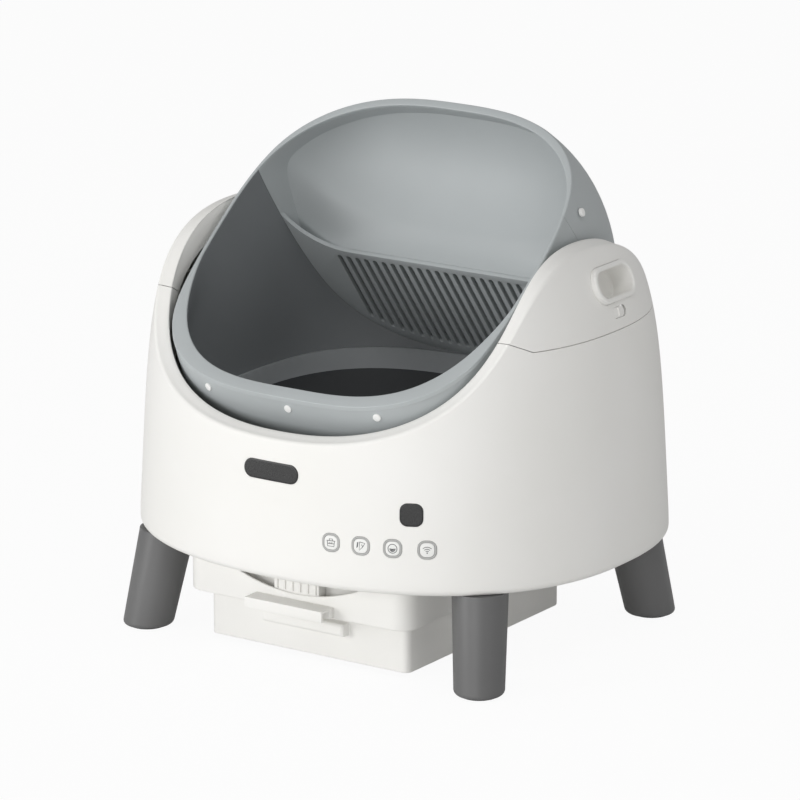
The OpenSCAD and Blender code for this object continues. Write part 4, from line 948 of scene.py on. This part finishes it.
liner = settled(folded_ball("floor_mat", liner_profile))
sliced(liner, (0, (SPLIT_H - 0.4) * MM, 0), (0, 1, 0), "clear_outer")
settled(liner, DRUM)
sliced(liner, (0, 0, LINER_Z * MM), (0, 0, 1), "clear_outer")
pick(liner, "FACE", lambda f: True)
bpy.ops.mesh.bisect(plane_co=(0, 0, (LINER_Z - LINER_BAND) * MM), plane_no=(0, 0, 1))
rounded(liner, 0.7, 2, 40)
liner.data.materials.append(liner_dark)
# faces above the band's cut take the lighter grey, a painted highlight along the liner's edge
liner.data.materials.append(painted_highlight_band)
for face in liner.data.polygons:
    face.material_index = int(face.center.z > (LINER_Z - LINER_BAND) * MM)
hand_over(liner, "drum", "liner_grey", liner_dark, "floor_liner")
studs = softened("rim_stud_set", "rim_studs", 0.6, 3)
for vertex in studs.data.vertices:
    x, y, z = (DRUM.inverted() @ vertex.co) / MM
    if y > 0:
        reach, wall = ((DRUM_W * (1 - (math.hypot(y, z) / r) ** p) ** (1 / p))
                       for r, p in ((DRUM_R, DRUM_POWER), drum_size(y, z)))
        vertex.co.x += math.copysign(1, x) * (wall - reach) * MM
hand_over(studs, "drum", "stud_white", stud_white, "rim_studs")

# %% [markdown]
# The drawer hangs under the shell: a frame with a curved cut in its front, a bin below it, a bar to pull
# it out, and a small cartridge in a ribbed holder. Copies of the solids of the first three, and of the
# ring that holds the bag, get rounded edges. The edge round the bin's front gets a wider bevel first.

# %% The drawer
for name, node, width, finish, slot in (
        ("drawer_tray_frame", "drawer_frame", 1.4, drawer_white, "shell_white"),
        ("drawer_pull_bar", "drawer_handle", 1.0, drawer_white, "shell_white"),
        ("bag_clamp_ring", "bag_ring", 0.8, ring_grey, "ring_grey")):
    hand_over(softened(name, node, width, 3), "drawer", slot, finish, node)
bin_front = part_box("waste_bin")[0][1] / MM
waste = merged("drawer_waste_bin", "waste_bin")
pick(waste, "EDGE", lambda e: all(abs(p.y - bin_front) < 0.1 for p in ends(waste, e)))
bpy.ops.mesh.bevel(offset=4.5 * MM, segments=6, affect="EDGES", clamp_overlap=True)
hand_over(rounded(waste, 1.6, 3), "drawer", "shell_white", drawer_white, "waste_bin")

# %% [markdown]
# Behind the curved cut stands the cartridge in its holder, in a shallow pocket. The holder is drawn up to
# the height that shows in the cut, and upright ribs on its front let air through.

# %% The cartridge in its pocket
HOLDER_TOP, CARTRIDGE_TOP = 93, 96
RIBS, RIB_W, RIB_LOW, RIB_INSET = 6, 2.2, 80, 4
POCKET_W, POCKET_H, POCKET_Z = 172, 36, 84.5
for name, node, top, finish, slot in (
        ("cartridge_cradle", "cartridge_holder", HOLDER_TOP, drawer_white, "shell_white"),
        ("cartridge_block", "odour_cartridge", CARTRIDGE_TOP, ring_grey, "ring_grey")):
    piece = merged(name, node)
    low, high = (corner[2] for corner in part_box(node))
    for vertex in piece.data.vertices:
        vertex.co.z = low + (vertex.co.z - low) * (top * MM - low) / (high - low)
    hand_over(rounded(piece, 0.5, 2), "drawer", slot, finish, node)
holder_low, holder_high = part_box("cartridge_holder")
bars = []
for i in range(RIBS):
    span = (holder_high[0] - holder_low[0] - 2 * RIB_INSET * MM) / MM
    spot = Vector((holder_low[0] / MM + RIB_INSET + span * i / (RIBS - 1), holder_low[1] / MM,
                   (HOLDER_TOP + RIB_LOW) / 2))
    bar = rounded(plate("holder_rib", RIB_W, HOLDER_TOP - RIB_LOW, 0.6, 1.4, 0.4, 3), 0.3)
    bars.append(settled(bar, Matrix.Translation(MM * spot)))
hand_over(joined(bars, "cradle_ribs"), "drawer", "shell_white", drawer_white)
wall = rounded(plate("cartridge_pocket_wall", POCKET_W, POCKET_H, 6, 0, 2, 6), 0.6)
settled(wall, Matrix.Translation(MM * Vector((0, holder_high[1] / MM + 1, POCKET_Z))))
hand_over(wall, "drawer", "shell_white", drawer_white)

# %% [markdown]
# The pieces that stay inside keep their CAD shapes. They show when a cap is lifted or the drawer is out,
# so each of them gets the finish of its real material.

# %% Finishes of the inner pieces
INNER_FINISHES = {
    shell_white: ("base_pan", "waste_chute", "left_bearing_post", "right_bearing_post"),
    steel: ("leg_screws", "pan_screws", "post_screws", "trunnion_screws", "left_trunnion", "right_trunnion",
            "gear_motor", "home_magnet", "left_drawer_rail", "right_drawer_rail"),
    bronze: ("left_bush", "right_bush"),
    gear_cream: ("ring_gear", "drive_pinion"),
    board_green: ("display_board", "sensor_board", "key_boards", "control_board", "home_sensor"),
    inlet_black: ("power_inlet",)}
for finish, nodes in INNER_FINISHES.items():
    for node in nodes:
        frame["nodes"][node].data.materials.clear()
        frame["nodes"][node].data.materials.append(finish)
print("inner pieces:", sum(len(n) for n in INNER_FINISHES.values()))

# %% [markdown]
# The picture was taken from the front right, a little above, with a long lens. Most of the soft light
# comes from the front, the stronger lamp on the left, and weaker lamps fill in from the right and from
# above. The floor is a pale sheet that glows nearly white to the camera, so that the background is
# white while the object's shadow still shows on it.

# %% Floor
FLOOR_GLOW = 0.94
alone()
bpy.ops.mesh.primitive_plane_add(size=40)
floor = named("studio_floor")
pale = bpy.data.materials.new("pale_floor")
pale.use_nodes = True
nodes, links = pale.node_tree.nodes, pale.node_tree.links
diffuse = nodes["Principled BSDF"]
diffuse.inputs["Base Color"].default_value = (0.9, 0.9, 0.9, 1)
diffuse.inputs["Roughness"].default_value = 0.9
glow = nodes.new("ShaderNodeEmission")
path = nodes.new("ShaderNodeLightPath")
share = nodes.new("ShaderNodeMath")
share.operation = "MULTIPLY"
share.inputs[1].default_value = FLOOR_GLOW
blend = nodes.new("ShaderNodeMixShader")
links.new(path.outputs["Is Camera Ray"], share.inputs[0])
links.new(share.outputs["Value"], blend.inputs["Fac"])
links.new(diffuse.outputs["BSDF"], blend.inputs[1])
links.new(glow.outputs["Emission"], blend.inputs[2])
links.new(blend.outputs["Shader"], nodes["Material Output"].inputs["Surface"])
floor.data.materials.append(pale)
print("floor:", floor.name)

# %% Light and camera
ROOM_LIGHT = 0.42
scene = bpy.context.scene
scene.view_settings.view_transform = "Standard"
world = bpy.data.worlds.new("soft_room")
scene.world = world
world.use_nodes = True
world.node_tree.nodes["Background"].inputs["Color"].default_value = (1, 1, 1, 1)
world.node_tree.nodes["Background"].inputs["Strength"].default_value = ROOM_LIGHT


def lamp(name, spot, target, size, watts):
    alone()
    bpy.ops.object.light_add(type="AREA", location=spot)
    light = bpy.context.object
    light.name = name
    light.data.size = size
    light.data.energy = watts
    light.rotation_euler = (Vector(target) - Vector(spot)).to_track_quat("-Z", "Y").to_euler()


lamp("key_light", (-2.7, -4.6, 1.1), (0, 0, 0.3), 2.4, 110)
lamp("front_fill", (1.2, -5.2, 0.35), (0, 0, 0.4), 2.5, 78)
lamp("side_fill", (5.0, -1.2, 1.6), (0, 0, 0.3), 3.0, 14)
lamp("top_fill", (1.8, -2.4, 4.2), (0, 0, 0.4), 2.5, 36)

CAMERA_AT, CAMERA_AIM, LENS = (3.081, -4.538, 1.757), (-0.0002, 0, 0.2427), 241.5
alone()
bpy.ops.object.camera_add(location=CAMERA_AT)
camera = bpy.context.object
camera.rotation_euler = (Vector(CAMERA_AIM) - Vector(CAMERA_AT)).to_track_quat("-Z", "Y").to_euler()
camera.data.sensor_width = 36
camera.data.lens = LENS
camera.data.clip_end = 100
scene.camera = camera
